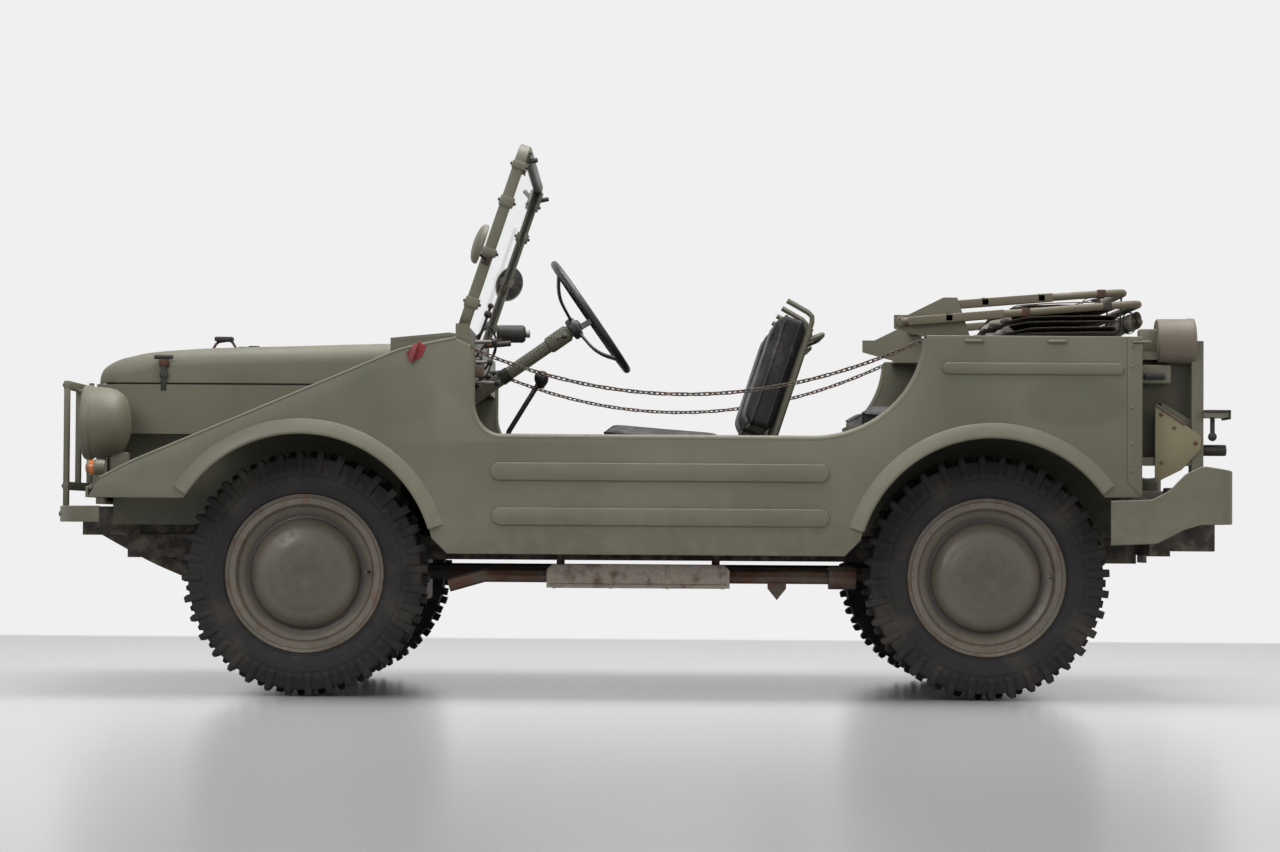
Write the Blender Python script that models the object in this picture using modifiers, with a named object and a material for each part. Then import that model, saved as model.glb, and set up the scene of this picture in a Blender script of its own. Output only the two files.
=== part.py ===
"""Open military 4x4 car with a folding windscreen, folded hood bows and door chains.

Metres, +Z up. The nose points to -X and the left side to -Y. The origin is on the
ground below the middle of the car. Outlines in a side view are (x, z), those seen
from ahead are (y, z) and those seen from above are (x, y).
"""

import math

import bmesh
import bpy
from mathutils import Matrix, Vector

# Driving sizes of the whole car
OVERALL_LENGTH = 3.42
BODY_WIDTH = 1.67
WHEELBASE = 2.0
FRONT_AXLE_AHEAD = 0.987
BODY_OVER_TRACK = 0.464
TRACK = BODY_WIDTH - BODY_OVER_TRACK
TYRE_RADIUS = 0.36
TYRE_WIDTH = 0.165
DECK_HEIGHT = 1.062

# Clearances and overruns
TOUCH = 0.0003
PIN_GAP = 0.0006
MOVING_GAP = 0.006
OVERRUN = 0.02
SINK = 0.003
ROUND_SHARE = 0.5

# Heights of the body
SILL_BOTTOM = 0.422
SIDE_HEIGHT = DECK_HEIGHT - SILL_BOTTOM
SILL_SHARE = 0.525
SILL_TOP = SILL_BOTTOM + SIDE_HEIGHT * SILL_SHARE
PILLAR_DROP = 0.018
PILLAR_HEIGHT = DECK_HEIGHT - PILLAR_DROP
APRON_BOTTOM = 0.578
SHUT_LINE_DROP = 0.138
SHUT_LINE = DECK_HEIGHT - SHUT_LINE_DROP

# Half widths: the outside of the body, its inside and what fits between
SIDE_THICK = 0.022
SIDE_Y = BODY_WIDTH / 2
INNER_Y = SIDE_Y - SIDE_THICK
WALL_Y = INNER_Y - TOUCH
HALF_TRACK = TRACK / 2

# Body side: stations along the car, arches and the door opening
SIDE_NOSE_X = -1.6
WING_CREASE_X = -1.563
WING_CREASE_Z = 0.634
WING_SLOPE_X = -1.477
WING_SLOPE_Z = 0.68
WING_TOP_X = -0.698
WING_TOP_DROP = 0.051
WING_TOP_Z = DECK_HEIGHT - WING_TOP_DROP
SCUTTLE_X = -0.54
DOOR_FRONT_X = -0.496
DOOR_REAR_X = 0.82
DOOR_CORNER_LENGTH = 0.086
DOOR_CORNER_HEIGHT = 0.108
DOOR_SWEEP_LENGTH = 0.33
TAIL_X = 1.444
TAIL_BOTTOM = 0.596
ARCH_RADIUS = 0.392
ARCH_LIFT = 0.016
ARCH_HEIGHT = TYRE_RADIUS + ARCH_LIFT
ARCH_CHAMFER = 0.045
FLARE_WIDTH = 0.04
FLARE_RISE = 0.0175
FLARE_LIP = 0.002
BEAD_RISE = 0.008

# Pressed beads of the body side: start x, end x, bottom and top as shares of its height
BEAD_SHARES = (
    (-0.438, 0.541, 0.333, 0.414),
    (-0.433, 0.541, 0.131, 0.211),
    (0.866, 1.391, 0.825, 0.878),
)

# Wings, scuttle and floors
SHEET = 0.008
WING_WIDTH = 0.335
BAY_HALF_WIDTH = SIDE_Y - WING_WIDTH
LINER_INSET = 0.155
LINER_HALF_WIDTH = BAY_HALF_WIDTH - LINER_INSET
LINER_ROOM = 0.055
LINER_TOP = TYRE_RADIUS * 2 + LINER_ROOM
LINER_BOTTOM = 0.5
COWL_FRONT_X = -0.73
COWL_DROP = 0.016
COWL_TOP_FRONT_Z = DECK_HEIGHT - COWL_DROP
COWL_TOP_REAR_X = -0.56
COWL_THICK = 0.01
DASH_X = -0.5
DASH_DROP = 0.015
DASH_TOP = DECK_HEIGHT - DASH_DROP
DASH_DEPTH = 0.117
DASH_BOTTOM = DASH_TOP - DASH_DEPTH
TOE_BOARD_DROP = 0.267
TOE_BOARD_TOP = DECK_HEIGHT - TOE_BOARD_DROP
TOE_BOARD_FOOT_X = -0.56
REAR_FLOOR_X = 0.602
REAR_FLOOR_HEIGHT = 0.62
REAR_FLOOR_END = 1.415
WHEELHOUSE_INSET = 0.1274
WHEELHOUSE_INNER = HALF_TRACK - WHEELHOUSE_INSET
WHEELHOUSE_ROOM = 0.08
WHEELHOUSE_TOP = TYRE_RADIUS * 2 + WHEELHOUSE_ROOM
REAR_PANEL_X = 1.424
REAR_PANEL_THICK = 0.016
DECK_RAIL_FRONT = 0.84
DECK_RAIL_WIDTH = 0.145
DECK_RAIL_INNER = SIDE_Y - DECK_RAIL_WIDTH

# Front panel with its upright slots
GRILLE_FACE_X = -1.628
GRILLE_BOTTOM = 0.56
GRILLE_WALL = 0.008
SLOT_COUNT = 9
SLOT_PITCH = BAY_HALF_WIDTH * 2 / (SLOT_COUNT + 2)
SLOT_BAR = 0.04
SLOT_WIDTH = SLOT_PITCH - SLOT_BAR
SLOT_BOTTOM = 0.64
SLOT_DROP = 0.064
SLOT_TOP = SHUT_LINE - SLOT_DROP
APRON_TOP = 0.628

# Bonnet
BONNET_FRONT_X = -1.626
BONNET_REAR_X = -0.738
BONNET_FRONT_RISE = 0.094
BONNET_FRONT_TOP = SHUT_LINE + BONNET_FRONT_RISE
BONNET_REAR_RISE = 0.124
BONNET_REAR_TOP = SHUT_LINE + BONNET_REAR_RISE
BONNET_HALF_WIDTH = BAY_HALF_WIDTH - MOVING_GAP
BONNET_EDGE = 0.05
BONNET_SKIN = 0.006
FLAT_SHARE = 0.9
BONNET_BARREL = 0.005
BONNET_HINGE_X = -0.7345
BONNET_HINGE_RISE = 0.1315
BONNET_HINGE_Z = SHUT_LINE + BONNET_HINGE_RISE
BONNET_HINGE_INSET = 0.2
BONNET_HINGE_HALF = BAY_HALF_WIDTH - BONNET_HINGE_INSET
BONNET_HINGE_MARGIN = 0.08
BONNET_HINGE_END = BAY_HALF_WIDTH - BONNET_HINGE_MARGIN

# Chassis frame
RAIL_LIFT = 0.04
RAIL_BOTTOM = TYRE_RADIUS + RAIL_LIFT
RAIL_DEPTH = 0.07
RAIL_TOP = RAIL_BOTTOM + RAIL_DEPTH
RAIL_INNER = 0.25
RAIL_OUTER = 0.31
RAIL_FRONT_X = -1.56
RAIL_REAR_X = 1.5
TAIL_BEAM_END = 1.56
TAIL_BEAM_HALF = HALF_TRACK - SINK
TAIL_BEAM_RISE = 0.03
TAIL_BEAM_TOP = RAIL_TOP + TAIL_BEAM_RISE
HANGER_RADIUS = 0.012
HANGER_ALONG = 0.13

# Cross members: middle x and width along the car
CROSS_MEMBERS = (
    (-1.5, 0.07),
    (-0.56, 0.06),
    (0.2, 0.06),
    (0.74, 0.06),
    (1.3, 0.06),
)

# Engine, transaxle and driveline
ENGINE_FRONT_X = -1.555
ENGINE_REAR_X = -1.2
ENGINE_HALF_WIDTH = 0.19
ENGINE_DROP = 0.064
ENGINE_TOP = SHUT_LINE - ENGINE_DROP
TRANSAXLE_REAR_X = -0.66
TRANSAXLE_HALF_WIDTH = 0.13
CASE_DROP = 0.085
TRANSAXLE_BOTTOM = TYRE_RADIUS - CASE_DROP
HALF_SHAFT_RADIUS = 0.018
PROP_SHAFT_RADIUS = 0.025
DIFF_HALF_LENGTH = 0.11
DIFF_RISE = 0.09
DIFF_TOP = TYRE_RADIUS + DIFF_RISE

# Axle units
KINGPIN_INSET = 0.073
KINGPIN_Y = HALF_TRACK - KINGPIN_INSET
HALF_SHAFT_INSET = 0.03
HALF_SHAFT_END = KINGPIN_Y - HALF_SHAFT_INSET
KINGPIN_RADIUS = 0.026
KINGPIN_REACH = 0.09
KINGPIN_BOTTOM = TYRE_RADIUS - KINGPIN_REACH
KINGPIN_TOP = TYRE_RADIUS + KINGPIN_REACH
STUB_RADIUS = 0.045
BOSS_RADIUS = 0.02
ARM_THICK = 0.014
ARM_HALF_BASE = 0.16
ARM_HALF_TIP = 0.02
ARM_BASE_Y = 0.26
SPRING_HALF_WIDTH = 0.03
SPRING_RISE = 0.04
SPRING_TIP = 0.012
SPRING_SHOULDER_SHARE = 0.7

# Wheels and tyres
TYRE_HEIGHT = 0.1285
RIM_RADIUS = TYRE_RADIUS - TYRE_HEIGHT
BEAD_DEPTH = 0.027
BEAD_RADIUS = RIM_RADIUS - BEAD_DEPTH
RIM_HALF_WIDTH = 0.0705
RIM_FLANGE = 0.008
BARREL_DEPTH = 0.0355
BARREL_INNER = RIM_RADIUS - BARREL_DEPTH
DISC_WIDTH = 0.036
CAP_RADIUS = BARREL_INNER - DISC_WIDTH
CAP_HEIGHT = 0.074
CAP_SHARES = ((0, 1), (0.62, 0.84), (0.94, 0.54))
DISC_OUT = 0.024
DRUM_INSET = 0.04
DRUM_RADIUS = CAP_RADIUS - DRUM_INSET
DRUM_DEPTH = 0.045
WHEEL_STEPS = 20
TREAD_DEPTH = 0.018
TREAD_HALF_WIDTH = 0.071
WALL_RISE = 0.0555
WALL_RADIUS = RIM_RADIUS + WALL_RISE
LUG_COUNT = 36
LUG_DRAFT_SHARE = 0.14
LUG_INNER_SHARE = 0.16
LUG_OUTER = 0.0765

# Front end
BUMPER_BOTTOM = 0.507
BUMPER_TOP = 0.554
BUMPER_THICK = 0.012
BUMPER_STRAIGHT = 0.62
BUMPER_HALF_WIDTH = 0.8
BUMPER_END_X = -1.569
GUARD_DEPTH = 0.018
GUARD_SETBACK = 0.006
GUARD_DROP = 0.002
GUARD_TOP = SHUT_LINE - GUARD_DROP
GUARD_LOW_RAIL = 0.6
GUARD_HALF_WIDTH = 0.64
GUARD_BAR = 0.025
GUARD_BAR_COUNT = 7
HEADLAMP_X = -1.645
HEADLAMP_LENGTH = 0.135
HEADLAMP_RADIUS = 0.11
HEADLAMP_INSET = 0.2187
HEADLAMP_Y = SIDE_Y - HEADLAMP_INSET
HEADLAMP_Z = 0.8
HEADLAMP_FOOT_TOP = 0.712
HEADLAMP_FOOT_HALF = 0.02
HEADLAMP_FOOT_LENGTH = 0.05
# Headlamp from its lens to its back: shares of the radius and of the length
HEADLAMP_SHARES = (
    (0, -0.04),
    (0.55, -0.07),
    (0.86, -0.11),
    (0.9, 0),
    (1, -0.04),
    (1, -0.2),
    (0.95, -0.25),
    (0.92, -0.6),
    (0.7, -0.88),
    (0.35, -1),
    (0, -1),
)
TURN_LAMP_X = -1.613
TURN_LAMP_LENGTH = 0.044
TURN_LAMP_RADIUS = 0.022
TURN_LAMP_INSET = 0.085
TURN_LAMP_Y = SIDE_Y - TURN_LAMP_INSET
TURN_LAMP_Z = 0.665
SKID_HALF_WIDTH = 0.235
SKID_TOP_X = -1.6
SKID_TOP_Z = 0.555
SKID_KNEE_X = -1.49
SKID_KNEE_Z = 0.386
SKID_FLAT_X = -1.369
SKID_FLAT_Z = 0.335
SKID_END_X = -1.22

# Rear end
CORNER_FRONT_X = 1.352
CORNER_SIDE_OUT = 0.018
CORNER_THICK = 0.01
CORNER_BOTTOM = 0.458
CORNER_TOP = 0.689
CORNER_RADIUS = 0.06
CORNER_REACH = 0.14
CORNER_INNER_Y = TAIL_BEAM_HALF - CORNER_REACH
CORNER_BRACKET = 0.06
REAR_LAMP_X = 1.503
REAR_LAMP_LENGTH = 0.105
REAR_LAMP_RADIUS = 0.064
REAR_LAMP_INSET = 0.115
REAR_LAMP_Y = SIDE_Y - REAR_LAMP_INSET
REAR_LAMP_DROP = 0.007
REAR_LAMP_Z = DECK_HEIGHT - REAR_LAMP_DROP
REAR_POST_X = 1.6
REAR_POST_END = 1.634
REAR_POST_HALF = 0.03
REAR_POST_BOTTOM = 0.653
REAR_ARM = 0.012
REAR_ARM_INSET = 0.05
GUSSET_TOP = 0.876
GUSSET_KNEE_X = 1.585
GUSSET_KNEE_Z = 0.835
STEP_END = 1.706
STEP_HEIGHT = 0.832
STEP_THICK = 0.014
CATCH_HEIGHT = 0.737
CATCH_END = 1.7
CATCH_RADIUS = 0.014
HITCH_HALF_WIDTH = 0.06
HITCH_PLATE = 0.012
HITCH_BOTTOM = RAIL_BOTTOM
HITCH_REACH = 0.09
HITCH_JAW = 0.03

# Exhaust under the left sill
EXHAUST_INSET = 0.285
EXHAUST_Y = SIDE_Y - EXHAUST_INSET
EXHAUST_DROP = 0.044
EXHAUST_Z = RAIL_BOTTOM - EXHAUST_DROP
PIPE_RADIUS = 0.02
SILENCER_RADIUS = 0.035
SILENCER_EDGE = 0.021
SILENCER_HALF_WIDTH = 0.06
SILENCER_FRONT_X = -0.279
SILENCER_REAR_X = 0.261
CANISTER_FRONT_X = 0.555
CANISTER_REAR_X = 0.635
EXHAUST_START_X = -0.57
EXHAUST_START_DROP = 0.03
EXHAUST_START_Z = EXHAUST_Z - EXHAUST_START_DROP
STRAP_DROP = 0.068
STRAP_FRONT_X = 0.375
STRAP_REAR_X = 0.43

# Cabin
COLUMN_ANGLE = 35
COLUMN_RADIUS = 0.02
WHEEL_CENTRE_X = -0.158
WHEEL_CENTRE_RISE = 0.074
WHEEL_CENTRE_Z = DECK_HEIGHT + WHEEL_CENTRE_RISE
WHEEL_CENTRE_INSET = 0.475
WHEEL_CENTRE_Y = SIDE_Y - WHEEL_CENTRE_INSET
WHEEL_RING_RADIUS = 0.193
WHEEL_RING_TUBE = 0.011
WHEEL_DISH = 0.045
WHEEL_HUB_RADIUS = 0.034
WHEEL_HUB_HEIGHT = 0.03
SPOKE_COUNT = 3
SPOKE_RADIUS = 0.007
LEVER_RADIUS = 0.008
LEVER_KNOB = 0.022
LEVER_X = -0.316
LEVER_Z = 0.963
LEVER_KNEE_X = -0.416
LEVER_KNEE_Z = 0.799
LEVER_FOOT_X = -0.5

# Windscreen
SCREEN_BASE_X = -0.53
SCREEN_BASE_RISE = 0.023
SCREEN_BASE_Z = DECK_HEIGHT + SCREEN_BASE_RISE
SCREEN_HEIGHT = 0.567
SCREEN_LEAN_ANGLE = 18.5
SCREEN_INSET = 0.195
SCREEN_HALF_WIDTH = SIDE_Y - SCREEN_INSET
SCREEN_TUBE = 0.012
SCREEN_CORNER = 0.05
SCREEN_PIN = 0.0096
GLASS_THICK = 0.005
SCREEN_EAR = 0.012
SCREEN_EAR_LENGTH = 0.04
MIRROR_ALONG = 0.2425
MIRROR_AHEAD = 0.018
MIRROR_INSET = 0.055
MIRROR_Y = SIDE_Y - MIRROR_INSET
MIRROR_RADIUS = 0.06
MIRROR_THICK = 0.014
MIRROR_ARM = 0.006

# Folded hood bows: x and rise above the deck, first of the pivot and then of the rear bar
BOW_TUBE = 0.011
BOW_BEND = 0.06
BOW_PLATE_INSET = 0.132
BOW_PLATE_Y = SIDE_Y - BOW_PLATE_INSET
BOW_PLATE_HALF = 0.003
BOW_A = (0.755, 0.046, 1.455, 0.103)
BOW_B = (0.9, 0.098, 1.415, 0.138)
BOW_EAR = 0.02
ROLL_INSET = 0.123
ROLL_HALF_WIDTH = BOW_PLATE_Y - ROLL_INSET
TUBE_FLAT_SHARE = 0.876
ROLL_HALF_LENGTH = 0.02
ROLL_HALF_HEIGHT = 0.03

# Door chains
CHAIN_RADIUS = 0.006
CHAIN_LINKS = 24
CHAIN_FRONT_DROP = 0.029
CHAIN_FRONT_Z = PILLAR_HEIGHT - CHAIN_FRONT_DROP
CHAIN_REAR_DROP = 0.012
CHAIN_REAR_Z = DECK_HEIGHT - CHAIN_REAR_DROP
CHAIN_SAG_SHARE = 0.477
CHAIN_WAIST_SHARE = 0.5

SEAT_INSET = 0.455
REAR_SEAT_GAP = 0.0356

# Seats: name, x of the front leg, middle y, half width, frame height, depth, back height.
# The one beside the middle has a twin on the right.
SEATS = (
    ("seat_left", -0.1, SEAT_INSET - SIDE_Y, 0.23, 0.218, 0.455, 0.38),
    ("rear_seat", 0.68, 0, WHEELHOUSE_INNER - REAR_SEAT_GAP, 0.14, 0.5, 0.2),
)
SEAT_TUBE = 0.011
SEAT_BAR = 0.0088
SEAT_DROP = 0.036
SEAT_LEAN_ANGLE = 18
CUSHION_THICK = 0.09
CUSHION_OVERHANG = 0.04
BACK_THICK = 0.085
BACK_LIFT = 0.11
PAD_EDGE = 0.02
GRAB_DROP = 0.04
GRAB_REACH = 0.05
GRAB_RISE = 0.02
CLAMP_LIFT = 0.05
CLAMP_REACH = 0.08
CLAMP_RISE = 0.045

OLIVE = ("olive_paint", (0.115, 0.118, 0.092), 0.6, 0.0)
BLACK = ("black_paint", (0.018, 0.018, 0.018), 0.5, 0.0)
STEEL = ("dull_steel", (0.28, 0.27, 0.25), 0.45, 1.0)
RUBBER = ("tyre_rubber", (0.025, 0.024, 0.025), 0.85, 0.0)
VINYL = ("black_vinyl", (0.03, 0.027, 0.028), 0.55, 0.0)
GLASS = ("clear_glass", (0.8, 0.85, 0.84), 0.05, 0.0)
CANVAS = ("old_canvas", (0.1, 0.085, 0.06), 0.9, 0.0)
RUST = ("rusty_steel", (0.09, 0.045, 0.03), 0.8, 0.4)

FRONT_AXLE_X = -FRONT_AXLE_AHEAD
REAR_AXLE_X = FRONT_AXLE_X + WHEELBASE
HALF_LENGTH = OVERALL_LENGTH / 2
ARM_TOP = KINGPIN_BOTTOM - PIN_GAP - SINK
FLOOR_Z = RAIL_TOP + TOUCH + SHEET / 2
WING_RISE_SHARE = (WING_TOP_Z - WING_SLOPE_Z) / (WING_TOP_X - WING_SLOPE_X)


def clear_scene():
    for obj in list(bpy.data.objects):
        bpy.data.objects.remove(obj, do_unlink=True)
    for name in ("open_4x4_car", "cutters"):
        bpy.context.scene.collection.children.link(bpy.data.collections.new(name))


def paint(name, colour, roughness, metallic):
    finish = bpy.data.materials.get(name)
    if finish is None:
        finish = bpy.data.materials.new(name)
        finish.use_nodes = True
        shader = finish.node_tree.nodes["Principled BSDF"]
        shader.inputs["Base Color"].default_value = (*colour, 1)
        shader.inputs["Roughness"].default_value = roughness
        shader.inputs["Metallic"].default_value = metallic
    return finish


def evaluated_mesh(obj):
    """The object's mesh with its modifiers applied, in world places."""
    bpy.context.view_layer.update()
    graph = bpy.context.evaluated_depsgraph_get()
    mesh = bpy.data.meshes.new_from_object(obj.evaluated_get(graph))
    mesh.transform(obj.matrix_world)
    return mesh


def tool(data, modifiers=(), place=None):
    """A hidden helper object. It is a cutter, or a piece of a node."""
    obj = bpy.data.objects.new("tool", data)
    bpy.data.collections["cutters"].objects.link(obj)
    obj.hide_render = True
    obj.display_type = "WIRE"
    if place is not None:
        obj.matrix_world = place
    for kind, settings in modifiers:
        modifier = obj.modifiers.new(kind.title(), kind)
        for key, value in settings.items():
            setattr(modifier, key, value)
    return obj


def welded(obj):
    """The helper as a plain mesh whose seams are welded and whose faces point out."""
    mesh = evaluated_mesh(obj)
    bpy.data.objects.remove(obj, do_unlink=True)
    bm = bmesh.new()
    bm.from_mesh(mesh)
    bmesh.ops.remove_doubles(bm, verts=bm.verts, dist=TOUCH / 10)
    bmesh.ops.recalc_face_normals(bm, faces=bm.faces)
    bm.to_mesh(mesh)
    bm.free()
    return tool(mesh)


def from_bmesh(bm):
    bmesh.ops.recalc_face_normals(bm, faces=bm.faces)
    mesh = bpy.data.meshes.new("shape")
    bm.to_mesh(mesh)
    bm.free()
    return tool(mesh)


AXIS_FRAMES = {
    "X": Matrix(((0, 0, 1, 0), (1, 0, 0, 0), (0, 1, 0, 0), (0, 0, 0, 1))),
    "Y": Matrix(((1, 0, 0, 0), (0, 0, -1, 0), (0, 1, 0, 0), (0, 0, 0, 1))),
    "Z": Matrix.Identity(4),
}


def prism(outline, axis, low, high, holes=()):
    """A flat outline, filled and given its thickness along an axis."""
    curve = bpy.data.curves.new("outline", "CURVE")
    curve.dimensions = "2D"
    curve.fill_mode = "BOTH"
    curve.extrude = (high - low) / 2
    for loop in (outline, *holes):
        spline = curve.splines.new("POLY")
        spline.points.add(len(loop) - 1)
        for point, (u, v) in zip(spline.points, loop):
            point.co = (u, v, 0, 1)
        spline.use_cyclic_u = True
    middle = (low + high) / 2
    shift = Vector([middle if name == axis else 0 for name in "XYZ"])
    return welded(tool(curve, place=Matrix.Translation(shift) @ AXIS_FRAMES[axis]))


def sheet(profile, axis, low, high, thick, offset=0):
    """A bent sheet: an open profile drawn along an axis and made solid."""
    bm = bmesh.new()
    rows = []
    for u, v in profile:
        places = {"X": [(w, u, v) for w in (low, high)], "Y": [(u, w, v) for w in (low, high)]}
        places["Z"] = [(u, v, w) for w in (low, high)]
        rows.append([bm.verts.new(place) for place in places[axis]])
    for (a, b), (c, d) in zip(rows, rows[1:]):
        bm.faces.new((a, b, d, c))
    mesh = bpy.data.meshes.new("sheet")
    bm.to_mesh(mesh)
    bm.free()
    solidify = {"thickness": thick, "offset": offset, "use_even_offset": True}
    return welded(tool(mesh, [("SOLIDIFY", solidify)]))


def box(low, high, edge=0, steps=3):
    """A block between two corners, with rounded edges if edge is given."""
    bm = bmesh.new()
    bmesh.ops.create_cube(bm, size=1)
    low, high = Vector(low), Vector(high)
    for vert in bm.verts:
        vert.co = (low + high) / 2 + vert.co * (high - low)
    if edge:
        bmesh.ops.bevel(
            bm, geom=bm.edges, offset=edge, segments=steps, profile=ROUND_SHARE, affect="EDGES"
        )
    return from_bmesh(bm)


def rod(start, end, radius, sides=12, end_radius=None):
    """A round bar, or a cone if end_radius is given."""
    start, end = Vector(start), Vector(end)
    along = end - start
    turn = along.to_track_quat("Z", "Y").to_matrix().to_4x4()
    bm = bmesh.new()
    bmesh.ops.create_cone(
        bm,
        cap_ends=True,
        segments=sides,
        radius1=radius,
        radius2=radius if end_radius is None else end_radius,
        depth=along.length,
        matrix=Matrix.Translation((start + end) / 2) @ turn,
    )
    return from_bmesh(bm)


def ball(centre, radius, u_count=12, v_count=8):
    bm = bmesh.new()
    bmesh.ops.create_uvsphere(
        bm, u_segments=u_count, v_segments=v_count, radius=radius,
        matrix=Matrix.Translation(centre),
    )
    return from_bmesh(bm)


def tube(path, radius, closed=False, resolution=2, radii=None):
    """A bent round bar along a path, which is a curve with a bevel."""
    curve = bpy.data.curves.new("tube", "CURVE")
    curve.dimensions = "3D"
    curve.bevel_depth = radius
    curve.bevel_resolution = resolution
    curve.use_fill_caps = True
    spline = curve.splines.new("POLY")
    spline.points.add(len(path) - 1)
    for index, (point, place) in enumerate(zip(spline.points, path)):
        point.co = (*place, 1)
        point.radius = radii[index] if radii else 1
    spline.use_cyclic_u = closed
    return welded(tool(curve))


def turned(profile, steps, place):
    """A profile of (radius, height) turned about the Z axis of a place."""
    bm = bmesh.new()
    verts = [bm.verts.new((radius, 0, height)) for radius, height in profile]
    for pair in zip(verts, verts[1:]):
        bm.edges.new(pair)
    mesh = bpy.data.meshes.new("profile")
    bm.to_mesh(mesh)
    bm.free()
    screw = {
        "steps": steps,
        "render_steps": steps,
        "use_merge_vertices": True,
        "merge_threshold": TOUCH / 10,
    }
    return welded(tool(mesh, [("SCREW", screw)], place))


def node(name, finish, first, join=(), cut=(), origin=(0, 0, 0)):
    """A sub-part of the car: one solid, with others joined to it or cut from it."""
    mesh = first.data
    bpy.data.objects.remove(first, do_unlink=True)
    origin = Vector(origin)
    mesh.transform(Matrix.Translation(-origin))
    obj = bpy.data.objects.new(name, mesh)
    bpy.data.collections["open_4x4_car"].objects.link(obj)
    obj.location = origin
    mesh.materials.clear()
    mesh.materials.append(paint(*finish))
    mesh.shade_smooth()
    mesh.set_sharp_from_angle(angle=math.radians(30))
    for operation, others in (("UNION", join), ("DIFFERENCE", cut)):
        for other in others:
            modifier = obj.modifiers.new(operation.title(), "BOOLEAN")
            modifier.operation = operation
            modifier.object = other
    return obj


def mirrored(name, source):
    """The right-hand twin of a left-hand node."""
    mesh = evaluated_mesh(source)
    place = source.location * Vector((1, -1, 1))
    mesh.transform(Matrix.Translation(-source.location))
    obj = bpy.data.objects.new(name, mesh)
    bpy.data.collections["open_4x4_car"].objects.link(obj)
    obj.location = place
    obj.scale = (1, -1, 1)
    return obj


def both_sides(name, finish, first, join=(), cut=(), origin=(0, 0, 0)):
    left = node(name + "_left", finish, first, join, cut, origin)
    mirrored(name + "_right", left)


def arc(centre, radius_u, radius_v, start, end, count):
    """Points of an ellipse's arc. The angles are in degrees from the first axis."""
    points = []
    for index in range(count + 1):
        angle = math.radians(start + (end - start) * index / count)
        across = centre[0] + radius_u * math.cos(angle)
        points.append((across, centre[1] + radius_v * math.sin(angle)))
    return points


def rounded(path, radius, steps=3, closed=False):
    """A path whose corners are replaced by short arcs. An open one keeps its ends."""
    path = [Vector(place) for place in path]
    if closed:
        path = [path[-1], *path, path[0]]
    result = [path[0]]
    for before, corner, after in zip(path, path[1:], path[2:]):
        first = corner + (before - corner).normalized() * radius
        last = corner + (after - corner).normalized() * radius
        for index in range(steps + 1):
            share = index / steps
            one = first.lerp(corner, share)
            two = corner.lerp(last, share)
            result.append(one.lerp(two, share))
    result.append(path[-1])
    return result[1:-1] if closed else result


def wing_height(x):
    """Height of the sloping wing top at a station."""
    return WING_SLOPE_Z + (x - WING_SLOPE_X) * WING_RISE_SHARE


def arch_angle(height):
    return math.degrees(math.asin((height - ARCH_HEIGHT) / ARCH_RADIUS))


def side_outline():
    """The body side: wing, arch, sill, arch, tail, then the door opening."""
    front = (FRONT_AXLE_X, ARCH_HEIGHT)
    rear = (REAR_AXLE_X, ARCH_HEIGHT)
    low = arch_angle(SILL_BOTTOM + ARCH_CHAMFER)
    points = [(SIDE_NOSE_X, APRON_BOTTOM)]
    points += arc(front, ARCH_RADIUS, ARCH_RADIUS, 180 - arch_angle(APRON_BOTTOM), low, 10)
    points.append((points[-1][0] + ARCH_CHAMFER, SILL_BOTTOM))
    sill_end = rear[0] - ARCH_RADIUS * math.cos(math.radians(low)) - ARCH_CHAMFER
    points.append((sill_end, SILL_BOTTOM))
    points += arc(rear, ARCH_RADIUS, ARCH_RADIUS, 180 - low, arch_angle(TAIL_BOTTOM), 10)
    points.append((TAIL_X, TAIL_BOTTOM))
    points.append((TAIL_X, DECK_HEIGHT))
    sweep = (DOOR_REAR_X - DOOR_SWEEP_LENGTH, DECK_HEIGHT)
    points += arc(sweep, DOOR_SWEEP_LENGTH, DECK_HEIGHT - SILL_TOP, 0, -90, 8)
    corner = (DOOR_FRONT_X + DOOR_CORNER_LENGTH, SILL_TOP + DOOR_CORNER_HEIGHT)
    points += arc(corner, DOOR_CORNER_LENGTH, DOOR_CORNER_HEIGHT, -90, -180, 4)
    points.append((DOOR_FRONT_X, PILLAR_HEIGHT - OVERRUN))
    points.append((SCUTTLE_X, PILLAR_HEIGHT))
    points.append((WING_TOP_X, WING_TOP_Z))
    points.append((WING_SLOPE_X, WING_SLOPE_Z))
    points.append((WING_CREASE_X, WING_CREASE_Z))
    return points


def bead(start, end, bottom, top):
    """A pressed rib with round ends, seated in the body side."""
    radius = (top - bottom) * SIDE_HEIGHT / 2
    middle = SILL_BOTTOM + (top + bottom) * SIDE_HEIGHT / 2
    outline = arc((end - radius, middle), radius, radius, -90, 90, 3)
    outline += arc((start + radius, middle), radius, radius, 90, 270, 3)
    return prism(outline, "Y", -SIDE_Y - BEAD_RISE, -SIDE_Y + SINK)


def flare(axle_x, start, end):
    """The raised band around a wheel arch."""
    inner = ARCH_RADIUS - FLARE_LIP
    outer = ARCH_RADIUS + FLARE_WIDTH
    centre = (axle_x, ARCH_HEIGHT)
    outline = arc(centre, inner, inner, start, end, 10)
    outline += arc(centre, outer, outer, end, start, 10)
    return prism(outline, "Y", -SIDE_Y - FLARE_RISE, -SIDE_Y + SINK)


def body_sides():
    panel = prism(side_outline(), "Y", -SIDE_Y, -INNER_Y)
    low = arch_angle(SILL_BOTTOM + ARCH_CHAMFER)
    front = flare(FRONT_AXLE_X, 178 - arch_angle(APRON_BOTTOM), low + 4)
    rear = flare(REAR_AXLE_X, 176 - low, arch_angle(TAIL_BOTTOM) + 2)
    beads = [bead(*row) for row in BEAD_SHARES]
    both_sides("side_panel", OLIVE, panel, [front, rear, *beads])


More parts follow.
